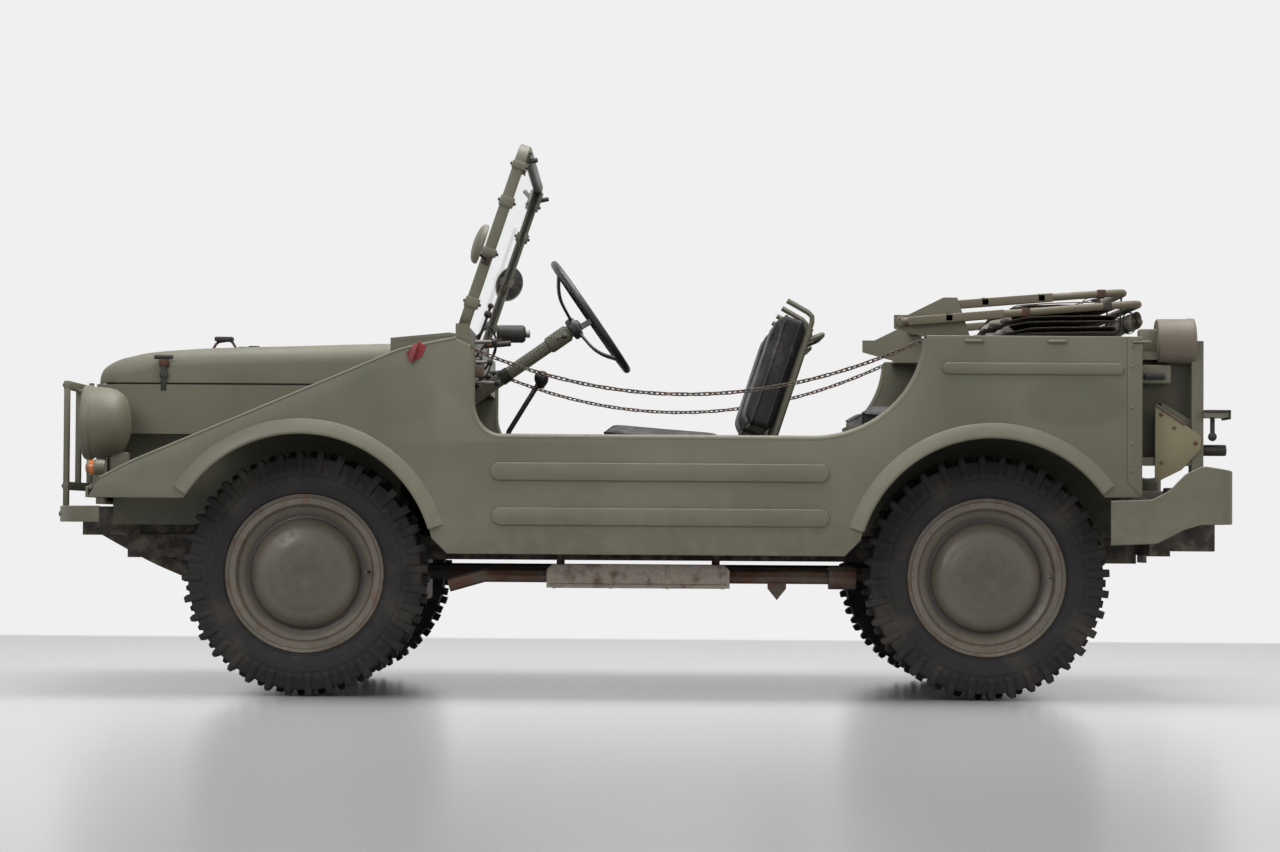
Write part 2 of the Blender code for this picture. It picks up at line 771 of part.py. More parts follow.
def wings():
    wing_end = COWL_FRONT_X - SHEET * WING_RISE_SHARE - TOUCH
    slope = [
        (SIDE_NOSE_X, APRON_TOP - OVERRUN),
        (WING_CREASE_X, WING_CREASE_Z),
        (WING_SLOPE_X, WING_SLOPE_Z),
        (wing_end, wing_height(wing_end)),
    ]
    top = sheet(slope, "Y", -WALL_Y, -BAY_HALF_WIDTH, SHEET, 1)
    step = [
        (-BAY_HALF_WIDTH, SHUT_LINE - MOVING_GAP),
        (-BAY_HALF_WIDTH, LINER_TOP),
        (-LINER_HALF_WIDTH, LINER_TOP),
        (-LINER_HALF_WIDTH, LINER_BOTTOM),
    ]
    bay = sheet(step, "X", SIDE_NOSE_X + TOUCH, COWL_FRONT_X - TOUCH * 2, SHEET)
    both_sides("front_wing", OLIVE, top, [bay, *turn_lamp()])


def grille():
    back = SIDE_NOSE_X - TOUCH
    top = SHUT_LINE - MOVING_GAP
    half = BAY_HALF_WIDTH
    shell = box((GRILLE_FACE_X, -half, GRILLE_BOTTOM), (back, half, top))
    pocket = box(
        (GRILLE_FACE_X + GRILLE_WALL, -half + GRILLE_WALL, GRILLE_BOTTOM + GRILLE_WALL),
        (back + OVERRUN, half - GRILLE_WALL, top - GRILLE_WALL),
    )
    slots = []
    for index in range(SLOT_COUNT):
        middle = (index - (SLOT_COUNT - 1) / 2) * SLOT_PITCH
        low = (GRILLE_FACE_X - OVERRUN, middle - SLOT_WIDTH / 2, SLOT_BOTTOM)
        high = (GRILLE_FACE_X + OVERRUN, middle + SLOT_WIDTH / 2, SLOT_TOP)
        slots.append(box(low, high))
    apron = [
        (-WALL_Y, APRON_BOTTOM),
        (-half + GRILLE_WALL / 2, APRON_BOTTOM),
        (-half + GRILLE_WALL / 2, APRON_TOP + OVERRUN),
        (-HEADLAMP_Y, APRON_TOP),
        (-WALL_Y, APRON_TOP - OVERRUN),
    ]
    right = [(-y, z) for y, z in reversed(apron)]
    sides = [prism(outline, "X", back - SHEET, back) for outline in (apron, right)]
    node("grille_panel", OLIVE, shell, sides, [pocket, *slots])


def cowl():
    profile = [
        (COWL_FRONT_X + COWL_THICK / 2, TOE_BOARD_TOP + COWL_THICK),
        (COWL_FRONT_X + COWL_THICK / 2, COWL_TOP_FRONT_Z - COWL_THICK / 2),
        (COWL_TOP_REAR_X, DECK_HEIGHT - COWL_THICK / 2),
        (DASH_X, DASH_TOP),
        (DASH_X, DASH_BOTTOM),
    ]
    skin = sheet(profile, "Y", -WALL_Y, WALL_Y, COWL_THICK)
    ears = []
    for side in (-1, 1):
        inner = SCREEN_HALF_WIDTH + SCREEN_TUBE + PIN_GAP
        ends = sorted((side * inner, side * (inner + SCREEN_EAR)))
        half = SCREEN_EAR_LENGTH / 2
        low = (SCREEN_BASE_X - half, ends[0], DECK_HEIGHT - COWL_THICK)
        high = (SCREEN_BASE_X + half, ends[1], SCREEN_BASE_Z + SCREEN_TUBE)
        ears.append(box(low, high))
        start = side * (BONNET_HINGE_HALF + PIN_GAP)
        barrel_z = BONNET_HINGE_Z
        barrel = rod(
            (BONNET_HINGE_X, start, barrel_z),
            (BONNET_HINGE_X, side * BONNET_HINGE_END, barrel_z),
            BONNET_BARREL,
            8,
        )
        ears.append(barrel)
        leaf = sorted((start, side * BONNET_HINGE_END))
        low = (BONNET_HINGE_X, leaf[0], COWL_TOP_FRONT_Z - COWL_THICK)
        high = (BONNET_HINGE_X + OVERRUN, leaf[1], BONNET_HINGE_Z)
        ears.append(box(low, high))
    node("cowl", OLIVE, skin, ears)


def floors():
    front = [
        (COWL_FRONT_X + COWL_THICK / 2, TOE_BOARD_TOP),
        (TOE_BOARD_FOOT_X, FLOOR_Z),
        (REAR_FLOOR_X - SHEET / 2 - TOUCH, FLOOR_Z),
    ]
    node("front_floor", OLIVE, sheet(front, "Y", -WALL_Y, WALL_Y, SHEET))
    base = FLOOR_Z + SHEET / 2 + TOUCH
    rear = [
        (REAR_FLOOR_X, FLOOR_Z - SHEET / 2),
        (REAR_FLOOR_X, REAR_FLOOR_HEIGHT),
        (REAR_FLOOR_END, REAR_FLOOR_HEIGHT),
    ]
    half = WHEELHOUSE_INNER + SHEET / 2
    tub = sheet(rear, "Y", -half, half, SHEET)
    housings = []
    hollows = []
    for side in (-1, 1):
        wall = sorted((side * WHEELHOUSE_INNER, side * WALL_Y))
        low = (REAR_FLOOR_X - SHEET / 2 + TOUCH, wall[0], base)
        high = (REAR_FLOOR_END, wall[1], WHEELHOUSE_TOP)
        housings.append(box(low, high))
        wall = sorted((side * (WHEELHOUSE_INNER + SHEET), side * (WALL_Y + OVERRUN)))
        low = (low[0] + SHEET, wall[0], low[2] - OVERRUN)
        high = (high[0] - SHEET, wall[1], high[2] - SHEET)
        hollows.append(box(low, high))
    node("rear_tub", OLIVE, tub, housings, hollows)


def lamp_carrier(y):
    """A post on two arms behind the tail, with a drum lamp, a gusset, a step and a catch."""
    start = REAR_PANEL_X + SINK
    half = REAR_POST_HALF
    low = (REAR_POST_X, y - half, REAR_POST_BOTTOM)
    pieces = [box(low, (REAR_POST_END, y + half, REAR_LAMP_Z))]
    foot = REAR_POST_BOTTOM + REAR_ARM_INSET
    for arm in (foot, DECK_HEIGHT - REAR_ARM_INSET):
        low = (start, y - half + SINK, arm - REAR_ARM)
        pieces.append(box(low, (REAR_POST_X + SINK, y + half - SINK, arm + REAR_ARM)))
    lamp = (REAR_LAMP_X, y, REAR_LAMP_Z)
    pieces.append(rod(lamp, (REAR_LAMP_X + REAR_LAMP_LENGTH, *lamp[1:]), REAR_LAMP_RADIUS, 20))
    front = REAR_LAMP_X + REAR_ARM
    gusset = [
        (front, foot),
        (REAR_POST_X + SINK, foot),
        (REAR_POST_X + SINK, GUSSET_KNEE_Z - REAR_ARM),
        (GUSSET_KNEE_X, GUSSET_KNEE_Z),
        (front, GUSSET_TOP),
    ]
    pieces.append(prism(gusset, "Y", y - REAR_ARM / 2, y + REAR_ARM / 2))
    low = (REAR_POST_END - SINK, y - half * 2, STEP_HEIGHT)
    pieces.append(box(low, (STEP_END, y + half * 2, STEP_HEIGHT + STEP_THICK)))
    catch = (REAR_POST_END - SINK, y, CATCH_HEIGHT)
    pieces.append(rod(catch, (CATCH_END, *catch[1:]), CATCH_RADIUS, 8))
    return pieces


def tail():
    bottom = (REAR_PANEL_X, -WALL_Y, TAIL_BOTTOM)
    top = (REAR_PANEL_X + REAR_PANEL_THICK, WALL_Y, DECK_HEIGHT)
    carriers = lamp_carrier(-REAR_LAMP_Y) + lamp_carrier(REAR_LAMP_Y)
    node("rear_panel", OLIVE, box(bottom, top), carriers)
    low = (DECK_RAIL_FRONT, -WALL_Y, DECK_HEIGHT - SHEET)
    high = (REAR_PANEL_X - TOUCH, -DECK_RAIL_INNER, DECK_HEIGHT)
    both_sides("deck_rail", OLIVE, box(low, high), [bow_bracket()])


def bonnet():
    """A pressed lid: a block with soft edges, hollowed from below and behind."""
    bm = bmesh.new()
    bmesh.ops.create_cube(bm, size=1)
    for vert in bm.verts:
        ahead = vert.co.x < 0
        top = BONNET_FRONT_TOP if ahead else BONNET_REAR_TOP
        vert.co.z = top if vert.co.z > 0 else SHUT_LINE
        vert.co.x = BONNET_FRONT_X if ahead else BONNET_REAR_X
        vert.co.y = math.copysign(BONNET_HALF_WIDTH, vert.co.y)
    middle = (SHUT_LINE + BONNET_FRONT_TOP) / 2
    soft = []
    for edge in bm.edges:
        centre = (edge.verts[0].co + edge.verts[1].co) / 2
        if centre.x > BONNET_REAR_X - SINK:
            continue
        if centre.z > middle - SINK:
            soft.append(edge)
    bmesh.ops.bevel(
        bm, geom=soft, offset=BONNET_EDGE, segments=4, profile=ROUND_SHARE, affect="EDGES"
    )
    gone = [f for f in bm.faces if f.normal.z < -FLAT_SHARE or f.normal.x > FLAT_SHARE]
    bmesh.ops.delete(bm, geom=gone, context="FACES")
    mesh = bpy.data.meshes.new("lid")
    bm.to_mesh(mesh)
    bm.free()
    solidify = {"thickness": BONNET_SKIN, "offset": -1, "use_even_offset": True}
    lid = welded(tool(mesh, [("SOLIDIFY", solidify)]))
    hinge = (BONNET_HINGE_X, 0, BONNET_HINGE_Z)
    half = BONNET_HINGE_HALF
    barrel = rod((hinge[0], -half, hinge[2]), (hinge[0], half, hinge[2]), BONNET_BARREL, 8)
    low = (BONNET_REAR_X - OVERRUN, -half, BONNET_REAR_TOP - BONNET_SKIN)
    high = (BONNET_HINGE_X, half, BONNET_HINGE_Z)
    node("bonnet", OLIVE, lid, [barrel, box(low, high)], origin=hinge)


def chassis():
    rails = []
    for side in (-1, 1):
        ends = sorted((side * RAIL_INNER, side * RAIL_OUTER))
        low = (RAIL_FRONT_X, ends[0], RAIL_BOTTOM)
        rails.append(box(low, (RAIL_REAR_X + SINK, ends[1], RAIL_TOP)))
        horn = (-HALF_LENGTH + BUMPER_THICK + TOUCH, ends[0] + SINK, RAIL_TOP - SINK)
        foot = (RAIL_FRONT_X + OVERRUN * 2, ends[1] - SINK, BUMPER_TOP)
        rails.append(box(horn, foot))
        for axle in (FRONT_AXLE_X, REAR_AXLE_X):
            for along in (-HANGER_ALONG, HANGER_ALONG):
                middle = side * (RAIL_INNER + RAIL_OUTER) / 2
                foot_z = ARM_TOP + TOUCH
                rails.append(
                    rod(
                        (axle + along, middle, RAIL_BOTTOM + SINK),
                        (axle + along, middle, foot_z),
                        HANGER_RADIUS,
                        8,
                    )
                )
    for middle, width in CROSS_MEMBERS:
        low = (middle - width / 2, -RAIL_INNER - SINK, RAIL_BOTTOM + SINK)
        high = (middle + width / 2, RAIL_INNER + SINK, RAIL_TOP - SINK)
        rails.append(box(low, high))
    spring = leaf_spring(FRONT_AXLE_X, RAIL_TOP - SINK, PIN_GAP)
    low = (RAIL_REAR_X, -TAIL_BEAM_HALF, RAIL_BOTTOM + SINK * 9)
    beam = box(low, (TAIL_BEAM_END, TAIL_BEAM_HALF, TAIL_BEAM_TOP))
    node("chassis_frame", BLACK, beam, [*rails, *skid_plate(), *spring])


def drivetrain():
    low = (ENGINE_FRONT_X, -ENGINE_HALF_WIDTH, RAIL_TOP - SINK + TOUCH)
    high = (ENGINE_REAR_X, ENGINE_HALF_WIDTH, ENGINE_TOP)
    node("engine_block", STEEL, box(low, high))
    half = TRANSAXLE_HALF_WIDTH
    low = (ENGINE_REAR_X + TOUCH, -half, TRANSAXLE_BOTTOM)
    case = box(low, (TRANSAXLE_REAR_X, half, RAIL_TOP - SINK - TOUCH))
    reach = HALF_SHAFT_END
    start = (FRONT_AXLE_X, -reach, TYRE_RADIUS)
    shaft = rod(start, (FRONT_AXLE_X, reach, TYRE_RADIUS), HALF_SHAFT_RADIUS, 8)
    node("transaxle", STEEL, case, [shaft])
    low = (REAR_AXLE_X - DIFF_HALF_LENGTH, -half, TRANSAXLE_BOTTOM)
    case = box(low, (REAR_AXLE_X + DIFF_HALF_LENGTH, half, DIFF_TOP))
    start = (REAR_AXLE_X, -reach, TYRE_RADIUS)
    shaft = rod(start, (REAR_AXLE_X, reach, TYRE_RADIUS), HALF_SHAFT_RADIUS, 8)
    start = (TRANSAXLE_REAR_X + TOUCH, 0, TYRE_RADIUS)
    prop = rod(start, (REAR_AXLE_X, 0, TYRE_RADIUS), PROP_SHAFT_RADIUS, 8)
    node("rear_driveline", STEEL, case, [shaft, prop])


def leaf_spring(axle_x, low, gap):
    """A crosswise leaf spring on the rails, with an eye above each hub."""
    tip = KINGPIN_TOP + gap
    shoulder = low + SPRING_RISE * SPRING_SHOULDER_SHARE
    end = tip + SINK
    under = [(-KINGPIN_Y, end), (-RAIL_OUTER, low), (RAIL_OUTER, low), (KINGPIN_Y, end)]
    over = [
        (KINGPIN_Y, end + SPRING_TIP),
        (RAIL_OUTER, shoulder),
        (0, low + SPRING_RISE),
        (-RAIL_OUTER, shoulder),
        (-KINGPIN_Y, end + SPRING_TIP),
    ]
    half = SPRING_HALF_WIDTH
    pieces = [prism(under + over, "X", axle_x - half, axle_x + half)]
    for side in (-1, 1):
        middle = (axle_x, side * KINGPIN_Y)
        pieces.append(rod((*middle, tip), (*middle, tip + BOSS_RADIUS), BOSS_RADIUS, 12))
    return pieces


def lower_arms(axle_x):
    """The wishbones of one axle in one plate, with a boss below each hub."""
    top = ARM_TOP
    quarter = [
        (ARM_HALF_TIP, -KINGPIN_Y),
        (ARM_HALF_BASE, -ARM_BASE_Y),
        (ARM_HALF_BASE, ARM_BASE_Y),
        (ARM_HALF_TIP, KINGPIN_Y),
    ]
    outline = [(axle_x + x, y) for x, y in quarter]
    outline += [(axle_x - x, y) for x, y in reversed(quarter)]
    pieces = [prism(outline, "Z", top - ARM_THICK, top)]
    for side in (-1, 1):
        middle = (axle_x, side * KINGPIN_Y)
        crown = (*middle, KINGPIN_BOTTOM - PIN_GAP)
        pieces.append(rod((*middle, top - ARM_THICK * 2), crown, BOSS_RADIUS, 12))
    return pieces


def hub(axle_x, side, reach):
    """An upright pin with the stub that a wheel turns on."""
    y = side * KINGPIN_Y
    low = (axle_x, y, KINGPIN_BOTTOM - reach)
    pin = rod(low, (axle_x, y, KINGPIN_TOP + reach), KINGPIN_RADIUS, 16)
    end = (axle_x, side * (HALF_TRACK - PIN_GAP), TYRE_RADIUS)
    return [pin, rod((axle_x, y, TYRE_RADIUS), end, STUB_RADIUS, 24)]


def axles():
    arms, *bosses = lower_arms(FRONT_AXLE_X)
    node("front_lower_arms", BLACK, arms, bosses)
    pin, stub = hub(FRONT_AXLE_X, -1, 0)
    both_sides("knuckle", STEEL, pin, [stub], origin=(FRONT_AXLE_X, -KINGPIN_Y, TYRE_RADIUS))
    arms, *others = lower_arms(REAR_AXLE_X)
    others += leaf_spring(REAR_AXLE_X, RAIL_TOP + TOUCH, 0)
    for side in (-1, 1):
        others += hub(REAR_AXLE_X, side, SINK * 2)
    node("rear_axle", BLACK, arms, others)


def wheel_profile():
    """(radius, distance out from the tyre's middle plane), from hub cap to bore."""
    width = RIM_HALF_WIDTH
    lip = width - RIM_FLANGE
    bore = STUB_RADIUS + PIN_GAP
    return [
        *((CAP_RADIUS * u, CAP_HEIGHT * v) for u, v in CAP_SHARES),
        (CAP_RADIUS, DISC_OUT),
        (BARREL_INNER, DISC_OUT + RIM_FLANGE),
        (BARREL_INNER + RIM_FLANGE / 2, lip),
        (RIM_RADIUS, width),
        (RIM_RADIUS, lip),
        (BEAD_RADIUS, lip),
        (BEAD_RADIUS, -lip),
        (RIM_RADIUS, -lip),
        (RIM_RADIUS, -width),
        (BARREL_INNER, -lip),
        (BARREL_INNER, DISC_OUT - RIM_FLANGE),
        (DRUM_RADIUS, DISC_OUT - RIM_FLANGE * 2),
        (DRUM_RADIUS, -DRUM_DEPTH),
        (bore, -DRUM_DEPTH),
        (bore, 0),
        (0, 0),
    ]


def tyre_mesh():
    """A ring with 36 upright lugs on each shoulder, those of one side set half a
    pitch from the other's. It turns about Y and its middle is the origin."""
    bm = bmesh.new()
    fine = LUG_COUNT * 2
    base = TYRE_RADIUS - TREAD_DEPTH
    facet = math.cos(math.pi / LUG_COUNT)
    bead_radius = (BEAD_RADIUS + TOUCH) / facet
    lip = RIM_HALF_WIDTH - RIM_FLANGE - TOUCH
    share = (RIM_RADIUS / facet - bead_radius) / (WALL_RADIUS - bead_radius)
    bead_half = (lip - share * TYRE_WIDTH / 2) / (1 - share)

    def ring(radius, y, count):
        turn = 2 * math.pi / count
        places = [(radius * math.cos(turn * i), y, radius * math.sin(turn * i)) for i in range(count)]
        return [bm.verts.new(place) for place in places]

    bead_in = ring(bead_radius, bead_half, LUG_COUNT)
    bead_out = ring(bead_radius, -bead_half, LUG_COUNT)
    sides = []
    for sign, start in ((1, bead_in), (-1, bead_out)):
        wall = ring(WALL_RADIUS, sign * TYRE_WIDTH / 2, LUG_COUNT)
        edge = ring(base, sign * TREAD_HALF_WIDTH, fine)
        for i in range(LUG_COUNT):
            j = (i + 1) % LUG_COUNT
            a, b, c = 2 * i, 2 * i + 1, (2 * i + 2) % fine
            bm.faces.new((start[i], start[j], wall[j], wall[i]))
            bm.faces.new((wall[i], wall[j], edge[b]))
            bm.faces.new((wall[i], edge[b], edge[a]))
            bm.faces.new((wall[j], edge[c], edge[b]))
        sides.append(edge)
    for i in range(LUG_COUNT):
        j = (i + 1) % LUG_COUNT
        bm.faces.new((bead_in[i], bead_out[i], bead_out[j], bead_in[j]))
    middle = ring(base, 0, fine)
    for sign, edge, phase in ((1, sides[0], 0), (-1, sides[1], 1)):
        for i in range(fine):
            j = (i + 1) % fine
            foot = [edge[i], edge[j], middle[j], middle[i]]
            if i % 2 != phase:
                bm.faces.new(foot)
                continue
            pitch = 2 * math.pi / fine
            near = pitch * (i + LUG_DRAFT_SHARE)
            far = pitch * (i + 1 - LUG_DRAFT_SHARE)
            inner = sign * TREAD_HALF_WIDTH * LUG_INNER_SHARE
            spots = ((near, sign * LUG_OUTER), (far, sign * LUG_OUTER), (far, inner), (near, inner))
            top = []
            for angle, y in spots:
                place = (TYRE_RADIUS * math.cos(angle), y, TYRE_RADIUS * math.sin(angle))
                top.append(bm.verts.new(place))
            bm.faces.new(top)
            for k in range(4):
                n = (k + 1) % 4
                bm.faces.new((foot[k], foot[n], top[n], top[k]))
    bmesh.ops.recalc_face_normals(bm, faces=bm.faces)
    mesh = bpy.data.meshes.new("tyre")
    bm.to_mesh(mesh)
    bm.free()
    return mesh


def wheels():
    tyre = tyre_mesh()
    turn = Matrix.Rotation(math.radians(90), 4, "X")
    spots = {"front": FRONT_AXLE_X, "rear": REAR_AXLE_X}
    disc = turned(wheel_profile(), WHEEL_STEPS, turn).data
    disc.materials.append(paint(*OLIVE))
    tyre.materials.append(paint(*RUBBER))
    for end, axle_x in spots.items():
        for side, sign in (("left", 1), ("right", -1)):
            place = (axle_x, -sign * HALF_TRACK, TYRE_RADIUS)
            for name, mesh in (("wheel", disc), ("tyre", tyre)):
                obj = bpy.data.objects.new(f"{name}_{end}_{side}", mesh)
                obj.location = place
                obj.scale = (1, sign, 1)
                bpy.data.collections["open_4x4_car"].objects.link(obj)


def front_bumper():
    outer = -HALF_LENGTH + BUMPER_THICK / 2
    bend = (BUMPER_END_X, BUMPER_STRAIGHT)
    depth = BUMPER_END_X - outer
    width = BUMPER_HALF_WIDTH - BUMPER_STRAIGHT
    left = [(x, -y) for x, y in arc(bend, depth, width, 180, 90, 5)]
    right = arc(bend, depth, width, 90, 180, 5)
    path = right + left
    node("front_bumper", OLIVE, sheet(path, "Z", BUMPER_BOTTOM, BUMPER_TOP, BUMPER_THICK))


def brush_guard():
    """Upright flat bars between two rails, standing on the bumper."""
    front = -HALF_LENGTH + GUARD_SETBACK
    back = front + GUARD_DEPTH
    half = GUARD_HALF_WIDTH
    low = (front, -half, GUARD_TOP - GUARD_BAR)
    top = box(low, (back, half, GUARD_TOP))
    others = [box((front, -half, GUARD_LOW_RAIL), (back, half, GUARD_LOW_RAIL + GUARD_BAR))]
    for index in range(GUARD_BAR_COUNT):
        middle = -half + GUARD_BAR / 2 + index * (2 * half - GUARD_BAR) / (GUARD_BAR_COUNT - 1)
        foot = BUMPER_TOP + TOUCH if index in (0, GUARD_BAR_COUNT - 1) else GUARD_LOW_RAIL + SINK
        low = (front + TOUCH, middle - GUARD_BAR / 2 + TOUCH, foot)
        high = (back - TOUCH, middle + GUARD_BAR / 2 - TOUCH, GUARD_TOP - SINK)
        others.append(box(low, high))
    for side in (-1, 1):
        y = side * (BAY_HALF_WIDTH - GUARD_BAR)
        z = GUARD_TOP - GUARD_BAR
        others.append(rod((back - SINK, y, z), (GRILLE_FACE_X - TOUCH, y, z), GUARD_BAR / 4, 8))
    node("brush_guard", OLIVE, top, others)


def lamps():
    face = (HEADLAMP_X, -HEADLAMP_Y, HEADLAMP_Z)
    turn = Matrix.Translation(face) @ Matrix.Rotation(math.radians(-90), 4, "Y")
    profile = [(HEADLAMP_RADIUS * u, HEADLAMP_LENGTH * v) for u, v in HEADLAMP_SHARES]
    pod = turned(profile, 16, turn)
    half = HEADLAMP_FOOT_HALF
    rear = WING_CREASE_X + HEADLAMP_FOOT_LENGTH
    slope = (WING_SLOPE_Z - WING_CREASE_Z) / (WING_SLOPE_X - WING_CREASE_X)
    lift = TOUCH * 2
    foot = [
        (WING_CREASE_X, WING_CREASE_Z + lift),
        (rear, WING_CREASE_Z + HEADLAMP_FOOT_LENGTH * slope + lift),
        (rear, HEADLAMP_FOOT_TOP),
        (WING_CREASE_X, HEADLAMP_FOOT_TOP),
    ]
    stand = prism(foot, "Y", -HEADLAMP_Y - half, -HEADLAMP_Y + half)
    both_sides("headlamp", OLIVE, pod, [stand])


def turn_lamp():
    """A small round lamp on its foot, for the front end of the left wing."""
    face = (TURN_LAMP_X, -TURN_LAMP_Y, TURN_LAMP_Z)
    lens = rod(face, (TURN_LAMP_X + TURN_LAMP_LENGTH, *face[1:]), TURN_LAMP_RADIUS, 16)
    rear = TURN_LAMP_X + TURN_LAMP_LENGTH
    crease = WING_CREASE_X - rear
    rise = (WING_CREASE_Z - APRON_TOP + OVERRUN) / (WING_CREASE_X - SIDE_NOSE_X)
    front = SIDE_NOSE_X + SINK
    foot = [
        (front, WING_CREASE_Z - (WING_CREASE_X - front) * rise - SINK),
        (rear, WING_CREASE_Z - crease * rise - SINK),
        (rear, TURN_LAMP_Z),
        (front, TURN_LAMP_Z),
    ]
    quarter = TURN_LAMP_RADIUS / 2
    stand = prism(foot, "Y", -TURN_LAMP_Y - quarter, -TURN_LAMP_Y + quarter)
    return [stand, lens]


def skid_plate():
    """A bent guard below the engine, hung from the first cross member."""
    profile = [
        (SKID_TOP_X, SKID_TOP_Z),
        (SKID_TOP_X, (SKID_TOP_Z + SKID_KNEE_Z) / 2),
        (SKID_KNEE_X, SKID_KNEE_Z),
        (SKID_FLAT_X, SKID_FLAT_Z),
        (SKID_END_X, SKID_FLAT_Z),
    ]
    half = SKID_HALF_WIDTH
    plate = sheet(profile, "Y", -half, half, SHEET)
    posts = []
    for side in (-1, 1):
        x = CROSS_MEMBERS[0][0] + OVERRUN
        y = side * (half - OVERRUN)
        low = (x, y, SKID_KNEE_Z - SHEET / 2 - SINK / 2)
        posts.append(rod(low, (x, y, RAIL_BOTTOM + SINK * 2), HANGER_RADIUS, 8))
    return [plate, *posts]


CORNER_TOP_SHARES = ((0, 0.56), (0.33, 0.58), (0.47, 0.69), (0.6, 0.9), (0.74, 1), (1, 0.94))
CORNER_BOTTOM_SHARES = ((1, 0.27), (0.72, 0.265), (0.59, 0.2), (0.37, 0.03), (0, 0))


def rear_bumpers():
    """Corner bumpers: a side-view outline crossed with a bent band seen from above."""
    length = HALF_LENGTH - CORNER_FRONT_X
    height = CORNER_TOP - CORNER_BOTTOM
    shares = CORNER_TOP_SHARES + CORNER_BOTTOM_SHARES
    side = [(CORNER_FRONT_X + u * length, CORNER_BOTTOM + v * height) for u, v in shares]
    outer = -SIDE_Y - CORNER_SIDE_OUT
    block = prism(side, "Y", outer - OVERRUN, -CORNER_INNER_Y)
    inset = CORNER_THICK
    bend = (HALF_LENGTH - CORNER_RADIUS, outer + CORNER_RADIUS)
    small = CORNER_RADIUS - inset
    band = [(CORNER_FRONT_X - OVERRUN, outer)]
    band += arc(bend, CORNER_RADIUS, CORNER_RADIUS, 270, 360, 5)
    band += [(HALF_LENGTH, -CORNER_INNER_Y + OVERRUN)]
    band += [(HALF_LENGTH - inset, -CORNER_INNER_Y + OVERRUN)]
    band += arc(bend, small, small, 360, 270, 5)
    band += [(CORNER_FRONT_X - OVERRUN, outer + inset)]
    shell = prism(band, "Z", CORNER_BOTTOM - OVERRUN, CORNER_TOP + OVERRUN)
    cross = shell.modifiers.new("Cross", "BOOLEAN")
    cross.operation = "INTERSECT"
    cross.object = block
    low = (TAIL_BEAM_END + TOUCH, -CORNER_INNER_Y - CORNER_BRACKET, TAIL_BEAM_TOP - CORNER_BRACKET)
    high = (HALF_LENGTH - SINK, -CORNER_INNER_Y - SINK, CORNER_TOP - CORNER_BRACKET)
    both_sides("rear_bumper", OLIVE, welded(shell), [box(low, high)])


def tow_hitch():
    face = TAIL_BEAM_END + TOUCH
    half = HITCH_HALF_WIDTH
    plate = box((face, -half, HITCH_BOTTOM), (face + HITCH_PLATE, half, TAIL_BEAM_TOP))
    middle = (HITCH_BOTTOM + TAIL_BEAM_TOP) / 2
    reach = face + HITCH_REACH
    jaw = box((face + SINK, -HITCH_JAW, middle - HITCH_JAW), (reach, HITCH_JAW, middle + HITCH_JAW))
    slot = box(
        (face + HITCH_PLATE + OVERRUN / 2, -half, middle - HITCH_JAW / 2),
        (reach + OVERRUN, half, middle + HITCH_JAW / 2),
    )
    node("tow_hitch", BLACK, plate, [jaw], [slot])


def exhaust():
    y = -EXHAUST_Y
    path = [
        (EXHAUST_START_X, y, EXHAUST_START_Z),
        (EXHAUST_START_X + SILENCER_RADIUS * 3, y, EXHAUST_Z),
        (CANISTER_REAR_X - SINK, y, EXHAUST_Z),
    ]
    pipe = tube(path, PIPE_RADIUS)
    silencer = box(
        (SILENCER_FRONT_X, y - SILENCER_HALF_WIDTH, EXHAUST_Z - SILENCER_RADIUS),
        (SILENCER_REAR_X, y + SILENCER_HALF_WIDTH, EXHAUST_Z + SILENCER_RADIUS),
        SILENCER_EDGE,
        2,
    )
    canister = rod(
        (CANISTER_FRONT_X, y, EXHAUST_Z), (CANISTER_REAR_X, y, EXHAUST_Z), SILENCER_RADIUS, 12
    )
    strap = [
        (STRAP_FRONT_X, EXHAUST_Z),
        (STRAP_REAR_X, EXHAUST_Z),
        (STRAP_REAR_X, EXHAUST_Z - STRAP_DROP / 2),
        ((STRAP_FRONT_X + STRAP_REAR_X) / 2, EXHAUST_Z - STRAP_DROP),
        (STRAP_FRONT_X, EXHAUST_Z - STRAP_DROP / 2),
    ]
    hook = prism(strap, "Y", y - HANGER_RADIUS / 2, y + HANGER_RADIUS / 2)
    others = [silencer, canister, hook]
    rail_z = (RAIL_BOTTOM + RAIL_TOP) / 2
    half = HANGER_RADIUS / 2
    for x in (SILENCER_FRONT_X + OVERRUN * 2, SILENCER_REAR_X - OVERRUN * 2):
        others.append(rod((x, -RAIL_OUTER - TOUCH, rail_z), (x, y, rail_z), half, 6))
        low = (x, y, EXHAUST_Z + SILENCER_RADIUS - SINK)
        others.append(rod(low, (x, y, rail_z + HANGER_RADIUS), HANGER_RADIUS, 8))
    node("exhaust", RUST, pipe, others)


def column_point(distance):
    """A point on the steering axis, a distance below the steering wheel's middle."""
    angle = math.radians(COLUMN_ANGLE)
    x = WHEEL_CENTRE_X - distance * math.cos(angle)
    z = WHEEL_CENTRE_Z - distance * math.sin(angle)
    return Vector((x, -WHEEL_CENTRE_Y, z))


